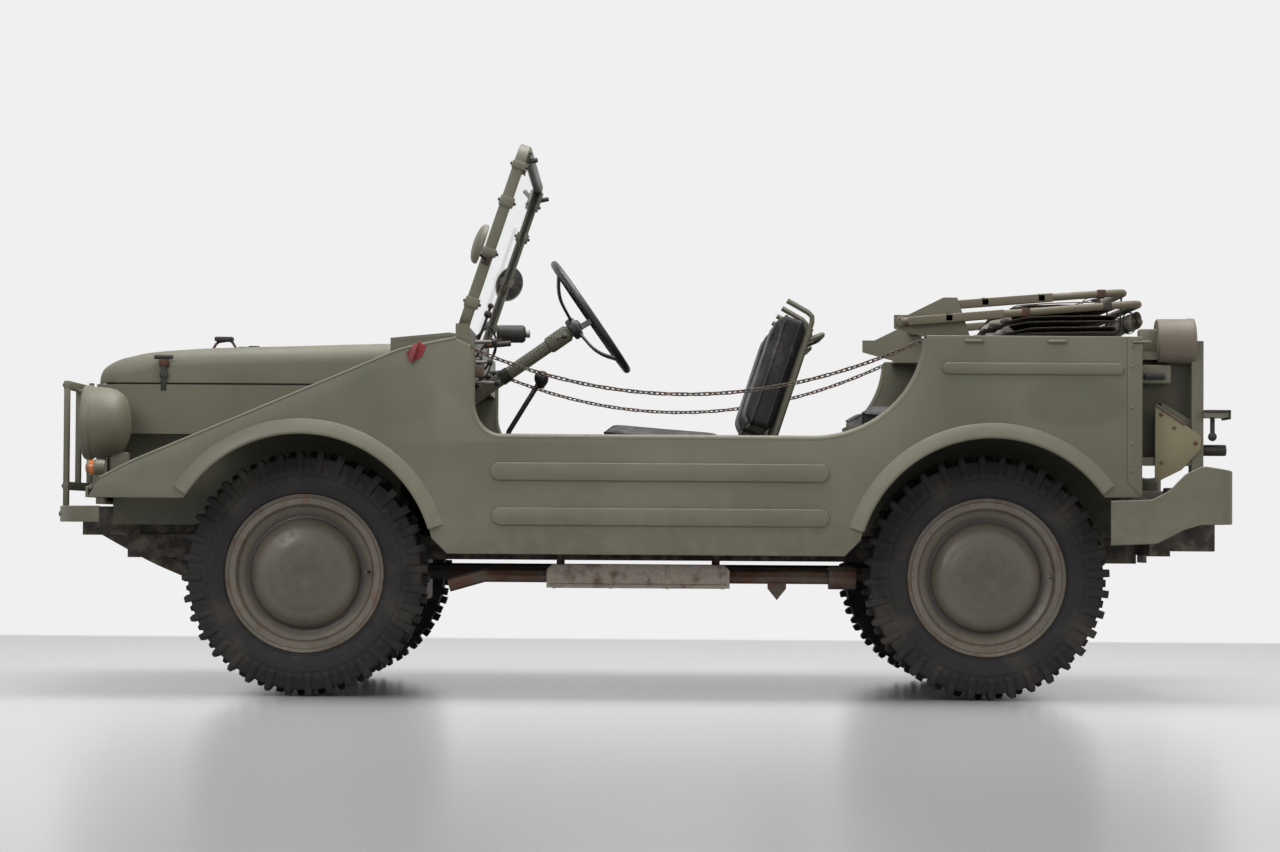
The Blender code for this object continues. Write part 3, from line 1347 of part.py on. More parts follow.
def steering():
    hub_end = WHEEL_DISH + WHEEL_HUB_HEIGHT
    board = Vector((COWL_FRONT_X + COWL_THICK / 2, 0, TOE_BOARD_TOP))
    foot = Vector((TOE_BOARD_FOOT_X, 0, FLOOR_Z))
    along = (foot - board).normalized()
    normal = Vector((-along.z, 0, along.x))
    axis = (column_point(0) - column_point(1)).normalized()
    lean = math.sqrt(1 - normal.dot(axis) ** 2)
    stand_off = SHEET / 2 + TOUCH + COLUMN_RADIUS * lean
    reach = (normal.dot(column_point(0) - board) - stand_off) / normal.dot(axis)
    column = rod(column_point(reach), column_point(hub_end + PIN_GAP), COLUMN_RADIUS, 12)
    node("steering_column", OLIVE, column)
    turn = Matrix.Rotation(math.radians(90 - COLUMN_ANGLE), 4, "Y")
    place = Matrix.Translation(column_point(0)) @ turn
    ring_path = []
    for x, y in arc((0, 0), WHEEL_RING_RADIUS, WHEEL_RING_RADIUS, 0, 360, 24)[:-1]:
        ring_path.append(place @ Vector((x, y, 0)))
    ring = tube(ring_path, WHEEL_RING_TUBE, closed=True, resolution=1)
    hub = rod(place @ Vector((0, 0, -hub_end)), place @ Vector((0, 0, -WHEEL_DISH)), WHEEL_HUB_RADIUS)
    others = [hub]
    for index in range(SPOKE_COUNT):
        angle = math.radians(90 + 360 * index / SPOKE_COUNT)
        outward = Vector((math.cos(angle), math.sin(angle), 0))
        inner = place @ (outward * WHEEL_HUB_RADIUS / 2 - Vector((0, 0, WHEEL_DISH + WHEEL_RING_TUBE)))
        others.append(rod(inner, place @ (outward * WHEEL_RING_RADIUS), SPOKE_RADIUS, 6))
    node("steering_wheel", VINYL, ring, others, origin=column_point(0))
    foot_z = FLOOR_Z + SHEET / 2 + TOUCH
    path = [(LEVER_FOOT_X, 0, foot_z + LEVER_RADIUS), (LEVER_KNEE_X, 0, LEVER_KNEE_Z), (LEVER_X, 0, LEVER_Z)]
    rising = tube(path, LEVER_RADIUS)
    knob = ball(path[-1], LEVER_KNOB)
    trim = box(
        (LEVER_FOOT_X - OVERRUN, -OVERRUN, foot_z), (LEVER_FOOT_X + OVERRUN, OVERRUN, foot_z + OVERRUN)
    )
    node("gear_lever", BLACK, rising, [knob, trim])


def windscreen():
    """The frame leans back about its hinge; it is drawn upright and then leaned."""
    base = (SCREEN_BASE_X, 0, SCREEN_BASE_Z)
    place = Matrix.Translation(base) @ Matrix.Rotation(math.radians(SCREEN_LEAN_ANGLE), 4, "Y")
    half = SCREEN_HALF_WIDTH
    corners = [(0, -half, 0), (0, -half, SCREEN_HEIGHT), (0, half, SCREEN_HEIGHT), (0, half, 0)]
    loop = rounded(corners, SCREEN_CORNER, closed=True)
    frame = tube([place @ corner for corner in loop], SCREEN_TUBE, closed=True)
    rim = SCREEN_TUBE + TOUCH
    side = half - rim
    top = SCREEN_HEIGHT - rim
    outline = [(-side, rim), (-side, top), (side, top), (side, rim)]
    outline = [tuple(point) for point in rounded(outline, SCREEN_CORNER - rim, closed=True)]
    pane = prism(outline, "X", -GLASS_THICK / 2, GLASS_THICK / 2)
    pane.data.transform(place)
    node("windscreen_glass", GLASS, pane, origin=base)
    thick = Vector((MIRROR_THICK / 2, 0, 0))
    mirrors = []
    for side in (-1, 1):
        middle = Vector((-MIRROR_AHEAD, side * MIRROR_Y, MIRROR_ALONG))
        disc = rod(place @ (middle - thick), place @ (middle + thick), MIRROR_RADIUS, 16)
        start = place @ Vector((0, side * half, MIRROR_ALONG))
        mirrors += [rod(start, place @ middle, MIRROR_ARM, 6), disc]
        pivot = (SCREEN_BASE_X, side * (half - SCREEN_CORNER), SCREEN_BASE_Z)
        end = (SCREEN_BASE_X, side * (half + SCREEN_TUBE), SCREEN_BASE_Z)
        mirrors.append(rod(pivot, end, SCREEN_PIN, 12))
    node("windscreen_frame", OLIVE, frame, mirrors, origin=base)


def bow(name, pivot_x, pivot_rise, rear_x, rear_rise, half):
    pivot_z = DECK_HEIGHT + pivot_rise
    rear_z = DECK_HEIGHT + rear_rise
    path = [
        (pivot_x, -half, pivot_z),
        (rear_x, -half, rear_z),
        (rear_x, half, rear_z),
        (pivot_x, half, pivot_z),
    ]
    hoop = tube(rounded(path, BOW_BEND), BOW_TUBE, resolution=1)
    node(name, OLIVE, hoop, origin=(pivot_x, 0, pivot_z))


def bows():
    inner = BOW_PLATE_Y - BOW_PLATE_HALF
    outer = BOW_PLATE_Y + BOW_PLATE_HALF
    bow("bow_main", *BOW_A, outer + PIN_GAP + BOW_TUBE)
    bow("bow_rear", *BOW_B, inner - PIN_GAP - BOW_TUBE)
    middle = BOW_A[2] + ROLL_HALF_LENGTH - BOW_TUBE
    top = DECK_HEIGHT + BOW_A[3] - BOW_TUBE * TUBE_FLAT_SHARE - TOUCH
    low = (middle - ROLL_HALF_LENGTH, -ROLL_HALF_WIDTH, top - ROLL_HALF_HEIGHT * 2)
    high = (middle + ROLL_HALF_LENGTH, ROLL_HALF_WIDTH, top)
    node("hood_roll", CANVAS, box(low, high, ROLL_HALF_LENGTH * ROUND_SHARE))


def bow_bracket():
    """The upright plate that both hoops turn on."""
    base = DECK_HEIGHT - SINK
    ear = BOW_EAR
    outline = [
        (DECK_RAIL_FRONT + SINK, base),
        (BOW_A[0] - ear, DECK_HEIGHT + BOW_A[1] - ear),
        (BOW_A[0] - ear, DECK_HEIGHT + BOW_A[1] + ear),
        (BOW_A[0] + ear, DECK_HEIGHT + BOW_A[1] + ear),
        (BOW_B[0] - ear, DECK_HEIGHT + BOW_B[1] + ear),
        (BOW_B[0] + ear, DECK_HEIGHT + BOW_B[1] + ear),
        (BOW_B[0] + ear * 3, base),
    ]
    middle = -BOW_PLATE_Y
    return prism(outline, "Y", middle - BOW_PLATE_HALF, middle + BOW_PLATE_HALF)


def chains():
    """A row of links: fat in the middle of each and thin where two of them hook."""
    y = -(SIDE_Y + INNER_Y) / 2
    start = DOOR_FRONT_X + CHAIN_RADIUS * CHAIN_WAIST_SHARE / 2 + TOUCH
    drop = (DECK_HEIGHT - CHAIN_REAR_Z) / (DECK_HEIGHT - SILL_TOP)
    corner_x = DOOR_REAR_X - DOOR_SWEEP_LENGTH
    end = corner_x + DOOR_SWEEP_LENGTH * math.sqrt(1 - drop ** 2) - CHAIN_RADIUS
    count = CHAIN_LINKS * 2
    sag = (DECK_HEIGHT - SILL_TOP) * CHAIN_SAG_SHARE
    path = []
    radii = []
    for index in range(count + 1):
        share = index / count
        line = CHAIN_FRONT_Z + (CHAIN_REAR_Z - CHAIN_FRONT_Z) * share
        path.append((start + (end - start) * share, y, line - sag * 4 * share * (1 - share)))
        radii.append(1 if index % 2 else CHAIN_WAIST_SHARE)
    both_sides("door_chain", STEEL, tube(path, CHAIN_RADIUS, resolution=0, radii=radii))


def back_fittings(crest, up, ends):
    """A grab bar behind a backrest, and a clamp arm over the top from each tube."""
    root = crest - up * GRAB_DROP
    tip = root + Vector((GRAB_REACH, 0, GRAB_RISE))
    left, right = ends[0] + SINK, ends[1] - SINK
    path = [(root.x, left, root.z), (tip.x, left, tip.z), (tip.x, right, tip.z), (root.x, right, root.z)]
    bars = [tube(rounded(path, OVERRUN, 2), SEAT_BAR, resolution=1)]
    for y in (left, right):
        foot = Vector((crest.x, y, crest.z)) - up * SEAT_TUBE
        bend = foot + up * CLAMP_LIFT
        tip = bend + Vector((-CLAMP_REACH, 0, CLAMP_RISE))
        bars.append(tube(rounded([foot, bend, tip], OVERRUN, 2), SEAT_BAR, resolution=1))
    return bars


def seat(name, front_x, middle_y, half, floor_z, rise, depth, back_height):
    """A tube frame with a cushion and a leaning back on it."""
    tube_y = half - SEAT_TUBE * 4
    top = floor_z + rise
    rear_top = top - SEAT_DROP
    lean = math.radians(SEAT_LEAN_ANGLE)
    rear = Vector((front_x + depth, 0, rear_top))
    up = Vector((math.sin(lean), 0, math.cos(lean)))
    crest = rear + up * (back_height + BACK_LIFT - SEAT_TUBE * 3)
    foot = floor_z + SEAT_TUBE / 2
    bars = []
    for side in (-1, 1):
        y = middle_y + side * tube_y
        path = [(front_x, y, foot), (front_x, y, top), (rear.x, y, rear.z), (crest.x, y, crest.z)]
        bars.append(tube(rounded(path, OVERRUN * 2, 2), SEAT_TUBE, resolution=1))
        slope = (rear_top - top) / depth
        leg_x = rear.x - OVERRUN * 3
        leg_top = top + slope * (leg_x - front_x)
        bars.append(rod((leg_x, y, foot), (leg_x, y, leg_top), SEAT_TUBE, 6))
    ends = (middle_y - tube_y, middle_y + tube_y)
    knees = [(front_x, top - OVERRUN * 3), (crest.x, crest.z - SEAT_TUBE * 2)]
    knees.append((rear.x - OVERRUN * 3, rear_top - OVERRUN * 3))
    for x, z in knees:
        bars.append(rod((x, ends[0], z), (x, ends[1], z), SEAT_BAR, 6))
    if floor_z < REAR_FLOOR_HEIGHT:
        bars += back_fittings(crest, up, ends)
    for side in (-1, 1):
        y = middle_y + side * tube_y
        for x in (front_x, rear.x - OVERRUN * 3):
            pad = SEAT_TUBE * 2
            low = (x - pad, y - pad, floor_z + TOUCH)
            bars.append(box(low, (x + pad, y + pad, floor_z + SEAT_TUBE)))
    frame = node(name + "_frame", OLIVE, bars[0], bars[1:])
    tilt = math.atan2(SEAT_DROP, depth)
    lift = SEAT_TUBE + TOUCH
    low = Vector((-CUSHION_OVERHANG, -half, lift))
    high = Vector((depth - BACK_THICK - SEAT_TUBE, half, lift + CUSHION_THICK))
    cushion = box(low, high, PAD_EDGE, 2)
    place = Matrix.Translation((front_x, middle_y, top)) @ Matrix.Rotation(tilt, 4, "Y")
    cushion.data.transform(place)
    cushion = node(name + "_cushion", VINYL, cushion)
    low = Vector((-lift - BACK_THICK, -half, BACK_LIFT))
    high = Vector((-lift, half, BACK_LIFT + back_height))
    back = box(low, high, PAD_EDGE, 2)
    place = Matrix.Translation((rear.x, middle_y, rear.z)) @ Matrix.Rotation(lean, 4, "Y")
    back.data.transform(place)
    return [frame, cushion, node(name + "_back", VINYL, back)]


def seats():
    floor = FLOOR_Z + SHEET / 2
    rear_floor = REAR_FLOOR_HEIGHT + SHEET / 2
    for row in SEATS:
        name, front_x, middle_y, half, rise, depth, back_height = row
        floor_z = floor if front_x < 0 else rear_floor
        for piece in seat(name, front_x, middle_y, half, floor_z, rise, depth, back_height):
            if middle_y:
                mirrored(piece.name.replace("left", "right"), piece)


def build():
    clear_scene()
    body_sides()
    wings()
    grille()
    cowl()
    floors()
    tail()
    bonnet()
    chassis()
    drivetrain()
    axles()
    wheels()
    front_bumper()
    brush_guard()
    lamps()
    rear_bumpers()
    tow_hitch()
    exhaust()
    steering()
    windscreen()
    bows()
    chains()
    seats()


build()
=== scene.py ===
"""Looks of an open military 4x4 car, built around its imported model.

Metres, +Z up. The nose points to -X and the left side to -Y. Outlines in a side view
are (x, z), and profiles that are turned are (radius, height).
"""

import math

import bmesh
import bpy
import numpy as np
from mathutils import Matrix, Vector, noise
from mathutils.bvhtree import BVHTree


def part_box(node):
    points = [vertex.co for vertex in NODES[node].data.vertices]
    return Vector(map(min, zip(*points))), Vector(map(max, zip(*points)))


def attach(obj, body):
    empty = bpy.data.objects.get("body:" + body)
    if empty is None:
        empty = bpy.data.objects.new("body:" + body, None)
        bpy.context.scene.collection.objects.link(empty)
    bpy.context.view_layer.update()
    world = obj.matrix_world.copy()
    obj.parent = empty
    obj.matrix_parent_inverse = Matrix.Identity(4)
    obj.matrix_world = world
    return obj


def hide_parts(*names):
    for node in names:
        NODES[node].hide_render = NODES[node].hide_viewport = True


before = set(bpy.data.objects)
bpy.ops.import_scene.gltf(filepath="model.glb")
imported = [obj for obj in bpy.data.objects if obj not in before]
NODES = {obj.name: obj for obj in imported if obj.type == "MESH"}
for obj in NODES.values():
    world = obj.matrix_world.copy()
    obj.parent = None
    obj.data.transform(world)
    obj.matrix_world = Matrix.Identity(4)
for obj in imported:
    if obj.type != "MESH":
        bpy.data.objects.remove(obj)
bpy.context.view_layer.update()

# The photograph: its size, the camera's place and how it was held
PHOTO_WIDTH = 1280
PHOTO_FOCAL = 3392
SENSOR_WIDTH = 36
CAMERA_PLACE = (-0.0063, -10.62, 0.52)
CAMERA_PITCH_ANGLE = 1.604
CAMERA_ROLL_ANGLE = 0.38
# Where the floor ends, and over what distance it fades into the wall
WALL_Y = 4.2
WALL_SOFTNESS = 0.25

# Body side, as in the solid model
SIDE_Y = 0.835
SIDE_THICK = 0.022
SIDE_EDGE = 0.003
SIDE_NOSE_X = -1.6
WING_CREASE = (-1.563, 0.634)
WING_SLOPE = (-1.477, 0.68)
WING_TOP = (-0.698, 1.011)
SCUTTLE = (-0.54, 1.044)
PILLAR_TOP_Z = 1.024
DOOR_FRONT_X = -0.496
DOOR_REAR_X = 0.82
DOOR_CORNER = (0.086, 0.108)
DOOR_SWEEP = 0.33
SILL_TOP = 0.758
SILL_BOTTOM = 0.422
SILL_CHAMFER = 0.045
DECK_Z = 1.062
TAIL_X = 1.444
TAIL_BOTTOM = 0.596
APRON_BOTTOM = 0.578
ARCH_RADIUS = 0.392
ARCH_Z = 0.376
FLARE_WIDTH = 0.042
FLARE_RISE = 0.0175
SHUT_LINE = 0.924
BAY_HALF = 0.494
# How deep one part is let into the next, and the smallest radius that isn't a point
SINK = 0.003
POINT_RADIUS = 0.00003
RIVET_RADIUS = 0.005

TYRE_LOW, TYRE_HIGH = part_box("tyre_front_left")
TYRE_RADIUS = (TYRE_HIGH.x - TYRE_LOW.x) / 2
AXLE_Z = (TYRE_LOW.z + TYRE_HIGH.z) / 2
FRONT_X = (TYRE_LOW.x + TYRE_HIGH.x) / 2
REAR_X = sum(corner.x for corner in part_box("tyre_rear_left")) / 2
WHEEL_Y = -(TYRE_LOW.y + TYRE_HIGH.y) / 2
WHEEL_SPOTS = {
    "front_left": (FRONT_X, -1),
    "front_right": (FRONT_X, 1),
    "rear_left": (REAR_X, -1),
    "rear_right": (REAR_X, 1),
}


def linear(red, green, blue):
    """A display colour from 0 to 255 as a shader's linear colour."""
    values = [value / 255 for value in (red, green, blue)]
    low, gain, offset, power = 0.04045, 12.92, 0.055, 2.4
    curve = [v / gain if v < low else ((v + offset) / (1 + offset)) ** power for v in values]
    return (*curve, 1)


def shade(colour, share):
    return (*(channel * share for channel in colour[:3]), 1)


OLIVE = linear(99, 97, 82)
BROWN_DUST = linear(134, 124, 110)
# Pale tone for faces that look up: partly dust, partly painted top light
PALE_DUST_AND_TOP_LIGHT = linear(150, 147, 136)
# Dark of the painted shadow round the wheels' caps
PAINTED_SHADOW_TONE = linear(34, 32, 30)
RUBBER_BLACK = linear(41, 39, 39)
VINYL_BLACK = linear(33, 31, 31)
RUST_BROWN = linear(94, 62, 46)
STEEL_GREY = linear(142, 139, 133)
CANVAS_BROWN = linear(108, 98, 80)


class Finish:
    """A material that is built from nodes step by step. It lies in the car's frame."""

    def __init__(self, name, roughness=0.5, metallic=0.0):
        self.material = bpy.data.materials.new(name)
        self.material.use_nodes = True
        self.tree = self.material.node_tree
        self.shader = self.tree.nodes["Principled BSDF"]
        self.set("Roughness", roughness)
        self.set("Metallic", metallic)
        self.place = self.node("ShaderNodeTexCoord").outputs["Object"]

    def node(self, kind, inputs=(), **settings):
        made = self.tree.nodes.new(kind)
        for key, value in settings.items():
            setattr(made, key, value)
        for key, value in dict(inputs).items():
            self.put(made.inputs[key], value)
        return made

    def put(self, socket, value):
        if isinstance(value, bpy.types.NodeSocket):
            self.tree.links.new(value, socket)
        else:
            socket.default_value = value

    def set(self, name, value):
        self.put(self.shader.inputs[name], value)

    def noise(self, scale, detail=4.0, stretch=(1, 1, 1), place=None):
        spot = self.node("ShaderNodeMapping", {"Vector": place or self.place, "Scale": stretch})
        inputs = {"Vector": spot.outputs[0], "Scale": scale, "Detail": detail}
        return self.node("ShaderNodeTexNoise", inputs).outputs["Fac"]

    def cells(self, scale, stretch=(1, 1, 1)):
        spot = self.node("ShaderNodeMapping", {"Vector": self.place, "Scale": stretch})
        inputs = {"Vector": spot.outputs[0], "Scale": scale}
        return self.node("ShaderNodeTexVoronoi", inputs).outputs["Distance"]

    def range(self, value, low, high, first=0.0, last=1.0):
        inputs = {"Value": value, "From Min": low, "From Max": high, "To Min": first, "To Max": last}
        return self.node("ShaderNodeMapRange", inputs).outputs["Result"]

    def math(self, operation, one, two=0.0):
        return self.node("ShaderNodeMath", {0: one, 1: two}, operation=operation).outputs[0]

    def mix(self, share, one, two):
        made = self.node("ShaderNodeMix", {0: share, 6: one, 7: two}, data_type="RGBA")
        return made.outputs[2]

    def axis(self, name):
        return self.node("ShaderNodeSeparateXYZ", {0: self.place}).outputs[name]

    def bump(self, height, distance, strength=1.0):
        inputs = {"Height": height, "Distance": distance, "Strength": strength}
        self.set("Normal", self.node("ShaderNodeBump", inputs).outputs[0])

    def upward(self):
        """How far a face looks up, from 0 to 1."""
        normal = self.node("ShaderNodeNewGeometry").outputs["Normal"]
        height = self.node("ShaderNodeSeparateXYZ", {0: normal}).outputs["Z"]
        return self.range(height, 0.2, 0.95)

    def spot(self, centre, halves, soft=0.12):
        """1 inside a soft ellipse that is seen from the side, else 0."""
        inputs = {0: self.place, 1: (-centre[0], 0, -centre[1])}
        moved = self.node("ShaderNodeVectorMath", inputs, operation="ADD").outputs[0]
        inputs = {0: moved, 1: (1 / halves[0], 0, 1 / halves[1])}
        scaled = self.node("ShaderNodeVectorMath", inputs, operation="MULTIPLY").outputs[0]
        length = self.node("ShaderNodeVectorMath", {0: scaled}, operation="LENGTH").outputs["Value"]
        return self.range(length, 1 - soft, 1 + soft, 1, 0)


# Heights between which the road dust fades, and how deep the finishes' grain goes
DUST_HEIGHTS = (0.72, 0.4)
PAINT_GRAIN = 0.0035
WHEEL_GRAIN = 0.0006
RUBBER_GRAIN = 0.0008
VINYL_GRAIN = 0.002
METAL_GRAIN = 0.0007
CLOTH_GRAIN = 0.0006
PLASTIC_GRAIN = 0.0004


def painted(name, colour, dust=0.35, roughness=0.5, patches=()):
    """Old matt paint: cloudy fading, runs, dust that lies low, a pale tone on top that is partly dust and
    partly painted top light, small chips.
    """
    f = Finish(name)
    cloud = f.range(f.noise(2.4, 3), 0.35, 0.68)
    tone = f.mix(cloud, shade(colour, 0.9), shade(colour, 1.1))
    runs = f.range(f.noise(9, 3, (1, 1, 0.12)), 0.5, 0.75, 0, 0.35)
    tone = f.mix(runs, tone, shade(colour, 0.74))
    for centre, halves, share in patches:
        tone = f.mix(f.math("MULTIPLY", f.spot(centre, halves), share), tone, shade(colour, 0.62))
    low = f.range(f.axis("Z"), *DUST_HEIGHTS, 0, dust)
    grit = f.range(f.noise(26, 5), 0.42, 0.72)
    tone = f.mix(f.math("MULTIPLY", low, grit), tone, BROWN_DUST)
    # Faces that look up are paled: partly dust lying on top, partly painted light falling from above
    tone = f.mix(f.math("MULTIPLY", f.upward(), f.range(grit, 0, 1, 0.06, 0.2)), tone, PALE_DUST_AND_TOP_LIGHT)
    chips = f.range(f.noise(120, 2), 0.73, 0.76, 0, 0.75)
    tone = f.mix(chips, tone, shade(colour, 0.45))
    f.set("Base Color", tone)
    f.set("Roughness", f.range(cloud, 0, 1, roughness - 0.07, roughness + 0.1))
    f.set("Specular IOR Level", 0.42)
    f.bump(f.math("ADD", f.noise(5, 2), f.math("MULTIPLY", f.noise(340, 3), 0.05)), PAINT_GRAIN)
    return f


# Radii on a wheel's disc: where dust lies, the ring of painted shadow round the cap's edge, and the rusty
# edge
DISC_DUST = (0.07, 0.15)
CAP_SHADOW_RADII = (0.158, 0.163, 0.178, 0.17)
RUSTY_EDGE = (0.19, 0.2)


def wheel_paint():
    """Olive paint under brown dust, which lies thickest in the corners of the disc, and a ring of painted
    shadow round the cap.
    """
    f = Finish("wheel_paint")
    middle = (REAR_X + FRONT_X) / 2
    along = f.math("SUBTRACT", f.axis("X"), middle)
    along = f.math("SUBTRACT", f.math("ABSOLUTE", along), (REAR_X - FRONT_X) / 2)
    rise = f.math("SUBTRACT", f.axis("Z"), AXLE_Z)
    squares = f.math("ADD", f.math("MULTIPLY", along, along), f.math("MULTIPLY", rise, rise))
    radius = f.math("SQRT", squares)
    grit = f.noise(45, 5)
    cloud = f.noise(6, 3)
    dust = f.range(radius, *DISC_DUST, 0.12, 0.72)
    dust = f.math("MULTIPLY", dust, f.range(cloud, 0.3, 0.62, 0.55, 1.15))
    tone = f.mix(f.range(grit, 0.35, 0.7), shade(OLIVE, 0.5), shade(OLIVE, 0.7))
    tone = f.mix(dust, tone, shade(BROWN_DUST, 0.66))
    # A ring of painted shadow round the cap's edge, where the cap meets the disc
    ring = f.math("MULTIPLY", f.range(radius, *CAP_SHADOW_RADII[:2]), f.range(radius, *CAP_SHADOW_RADII[2:]))
    tone = f.mix(f.math("MULTIPLY", ring, 0.8), tone, PAINTED_SHADOW_TONE)
    rusty = f.math("MULTIPLY", f.range(radius, *RUSTY_EDGE), f.range(f.noise(30, 4), 0.52, 0.66))
    tone = f.mix(f.math("MULTIPLY", rusty, 0.6), tone, RUST_BROWN)
    f.set("Base Color", tone)
    f.set("Roughness", f.range(grit, 0.3, 0.7, 0.3, 0.55))
    f.bump(f.math("ADD", grit, cloud), WHEEL_GRAIN)
    return f


def rubber():
    """Worn rubber: nearly black, with dust between the lugs and brown marks."""
    f = Finish("tyre_rubber")
    grit = f.noise(70, 5)
    tone = f.mix(f.range(grit, 0.4, 0.7), shade(RUBBER_BLACK, 0.75), RUBBER_BLACK)
    tone = f.mix(f.range(f.noise(7, 3), 0.5, 0.72, 0, 0.5), tone, shade(BROWN_DUST, 0.35))
    f.set("Base Color", tone)
    f.set("Roughness", f.range(grit, 0.3, 0.7, 0.62, 0.85))
    f.set("Specular IOR Level", 0.35)
    f.bump(f.math("ADD", grit, f.noise(260, 2)), RUBBER_GRAIN)
    return f


# Where the front seats' backs are rubbed grey: middle and reach in the side view
WORN_EDGE = ((0.392, 1.1), (0.026, 0.12))
WORN_MIDDLE = 0.38
WORN_HALVES = (0.192, 0.222)


def vinyl(name, worn=0.0):
    """Black coated cloth with a pebbled grain. The worn face is scuffed grey."""
    f = Finish(name)
    grain = f.cells(420)
    rubs = f.noise(24, 5, (1, 0.25, 1))
    tone = f.mix(f.range(f.noise(9, 3), 0.35, 0.65), shade(VINYL_BLACK, 0.62), VINYL_BLACK)
    scuff = f.range(rubs, 0.66 - worn * 0.2, 0.78, 0, 0.12 + worn * 0.4)
    edge = f.spot(WORN_EDGE[0], WORN_EDGE[1], 0.5)
    across = f.math("ABSOLUTE", f.math("SUBTRACT", f.math("ABSOLUTE", f.axis("Y")), WORN_MIDDLE))
    edge = f.math("MULTIPLY", edge, f.range(across, *WORN_HALVES))
    worn_edge = f.math("MULTIPLY", edge, f.range(f.noise(60, 5), 0.4, 0.62, 0, 0.6))
    tone = f.mix(f.math("MAXIMUM", scuff, worn_edge), tone, linear(118, 112, 108))
    f.set("Base Color", tone)
    f.set("Roughness", f.range(rubs, 0.3, 0.7, 0.4, 0.58))
    f.set("Specular IOR Level", 0.32)
    f.bump(f.math("ADD", f.math("MULTIPLY", grain, 0.12), f.noise(16, 3)), VINYL_GRAIN)
    return f


def metal(name, colour, roughness, rust=0.2, metallic=0.75):
    """Bare or plated steel, dulled in patches, with rust in places."""
    f = Finish(name, metallic=metallic)
    grit = f.noise(60, 5)
    tone = f.mix(f.range(grit, 0.35, 0.7), shade(colour, 0.72), colour)
    tone = f.mix(f.range(f.noise(17, 4), 0.62 - rust * 0.3, 0.74 - rust * 0.2, 0, 0.85), tone, RUST_BROWN)
    f.set("Base Color", tone)
    f.set("Roughness", f.range(grit, 0.3, 0.7, roughness - 0.08, roughness + 0.12))
    f.bump(grit, METAL_GRAIN)
    return f


def cloth(name, colour, thread=900.0):
    """Woven canvas: two crossing thread waves, fading and grime."""
    f = Finish(name, roughness=0.9)
    warp = f.math("SINE", f.math("MULTIPLY", f.axis("Y"), thread))
    weft = f.math("SINE", f.math("MULTIPLY", f.math("ADD", f.axis("X"), f.axis("Z")), thread))
    tone = f.mix(f.range(f.noise(8, 4), 0.3, 0.7), shade(colour, 0.5), shade(colour, 1.15))
    tone = f.mix(f.range(f.noise(40, 4), 0.5, 0.8, 0, 0.6), tone, shade(colour, 0.35))
    f.set("Base Color", tone)
    f.set("Sheen Weight", 0.3)
    f.bump(f.math("ADD", f.math("MULTIPLY", warp, weft), f.noise(60, 3)), CLOTH_GRAIN)
    return f


def clear(name, colour, roughness=0.02, weight=1.0, bend=1.45):
    f = Finish(name)
    smear = f.noise(14, 4)
    f.set("Base Color", colour)
    f.set("Roughness", f.range(smear, 0.45, 0.75, roughness, roughness + 0.03))
    f.set("Transmission Weight", weight)
    f.set("IOR", bend)
    return f


def plastic(name, colour, roughness=0.35):
    f = Finish(name)
    grit = f.noise(50, 4)
    f.set("Base Color", f.mix(f.range(grit, 0.4, 0.75), colour, shade(colour, 1.5)))
    f.set("Roughness", f.range(grit, 0.3, 0.7, roughness, roughness + 0.15))
    f.bump(f.noise(500, 2), PLASTIC_GRAIN)
    return f


PATCHES = (((-0.724, 0.874), (0.138, 0.085), 0.22), ((1.254, 0.871), (0.152, 0.073), 0.36))
OLIVE_PAINT = painted("olive_paint", OLIVE)
SIDE_PAINT = painted("side_paint", OLIVE, 0.25, 0.46, PATCHES)
INNER_PAINT = painted("inner_paint", shade(OLIVE, 0.8), 0.5, 0.6)
BLACK_PAINT = painted("black_paint", linear(42, 40, 38), 0.5, 0.5)
# Dark underbody paint. On the bracket behind each rear corner bumper it is also painted shade
UNDERBODY_AND_SHADE_PAINT = painted("underbody_and_shade_paint", linear(52, 47, 42), 0.7, 0.7)
WHEEL_PAINT = wheel_paint()
RUBBER = rubber()
VINYL = vinyl("black_vinyl")
PIPING = vinyl("piping_vinyl", 0.5)
STEEL = metal("dull_steel", STEEL_GREY, 0.4)
DARK_STEEL = metal("dark_steel", linear(70, 68, 64), 0.45, 0.5)
CAST_IRON = metal("cast_iron", linear(88, 84, 78), 0.6, 0.6, 0.5)
RUSTY = metal("rusty_steel", linear(112, 100, 88), 0.6, 0.75, 0.4)
SHIELD = metal("shield_steel", linear(178, 168, 154), 0.5, 0.3, 0.3)
DARK_OLIVE = painted("dark_olive", linear(70, 67, 56), 0.5, 0.6)
BAR_PAINT = painted("bar_paint", linear(96, 89, 74), 0.6, 0.6)
CANVAS = cloth("old_canvas", CANVAS_BROWN)
WEBBING = cloth("black_webbing", linear(48, 46, 44), 1400.0)
RED_CLOTH = cloth("red_cloth", linear(150, 34, 40), 1600.0)
BROWN_STRAP = cloth("brown_strap", linear(104, 62, 48), 1600.0)
TAN_PAINT = painted("tan_paint", linear(122, 116, 90), 0.4, 0.6)
DRUM_PAINT = painted("drum_paint", linear(100, 92, 80), 0.5, 0.5)
CHAIN_STEEL = metal("chain_steel", linear(84, 78, 70), 0.45, 0.5)
BRIGHT = metal("bright_bowl", linear(215, 214, 208), 0.12, -0.6, 1.0)
GLASS = clear("clear_glass", (0.93, 0.96, 0.95, 1), 0.0, 1.0, 1.2)
LENS = clear("lens_glass", (0.92, 0.94, 0.92, 1), 0.08, 0.7)
AMBER = clear("amber_lens", linear(232, 128, 60), 0.15, 0.45)
RED = clear("red_lens", linear(150, 20, 18), 0.15, 0.4)
MIRROR = metal("mirror_glass", (0.86, 0.87, 0.87, 1), 0.1, -0.6, 1.0)
BLACK_PLASTIC = plastic("black_plastic", linear(30, 29, 29), 0.28)
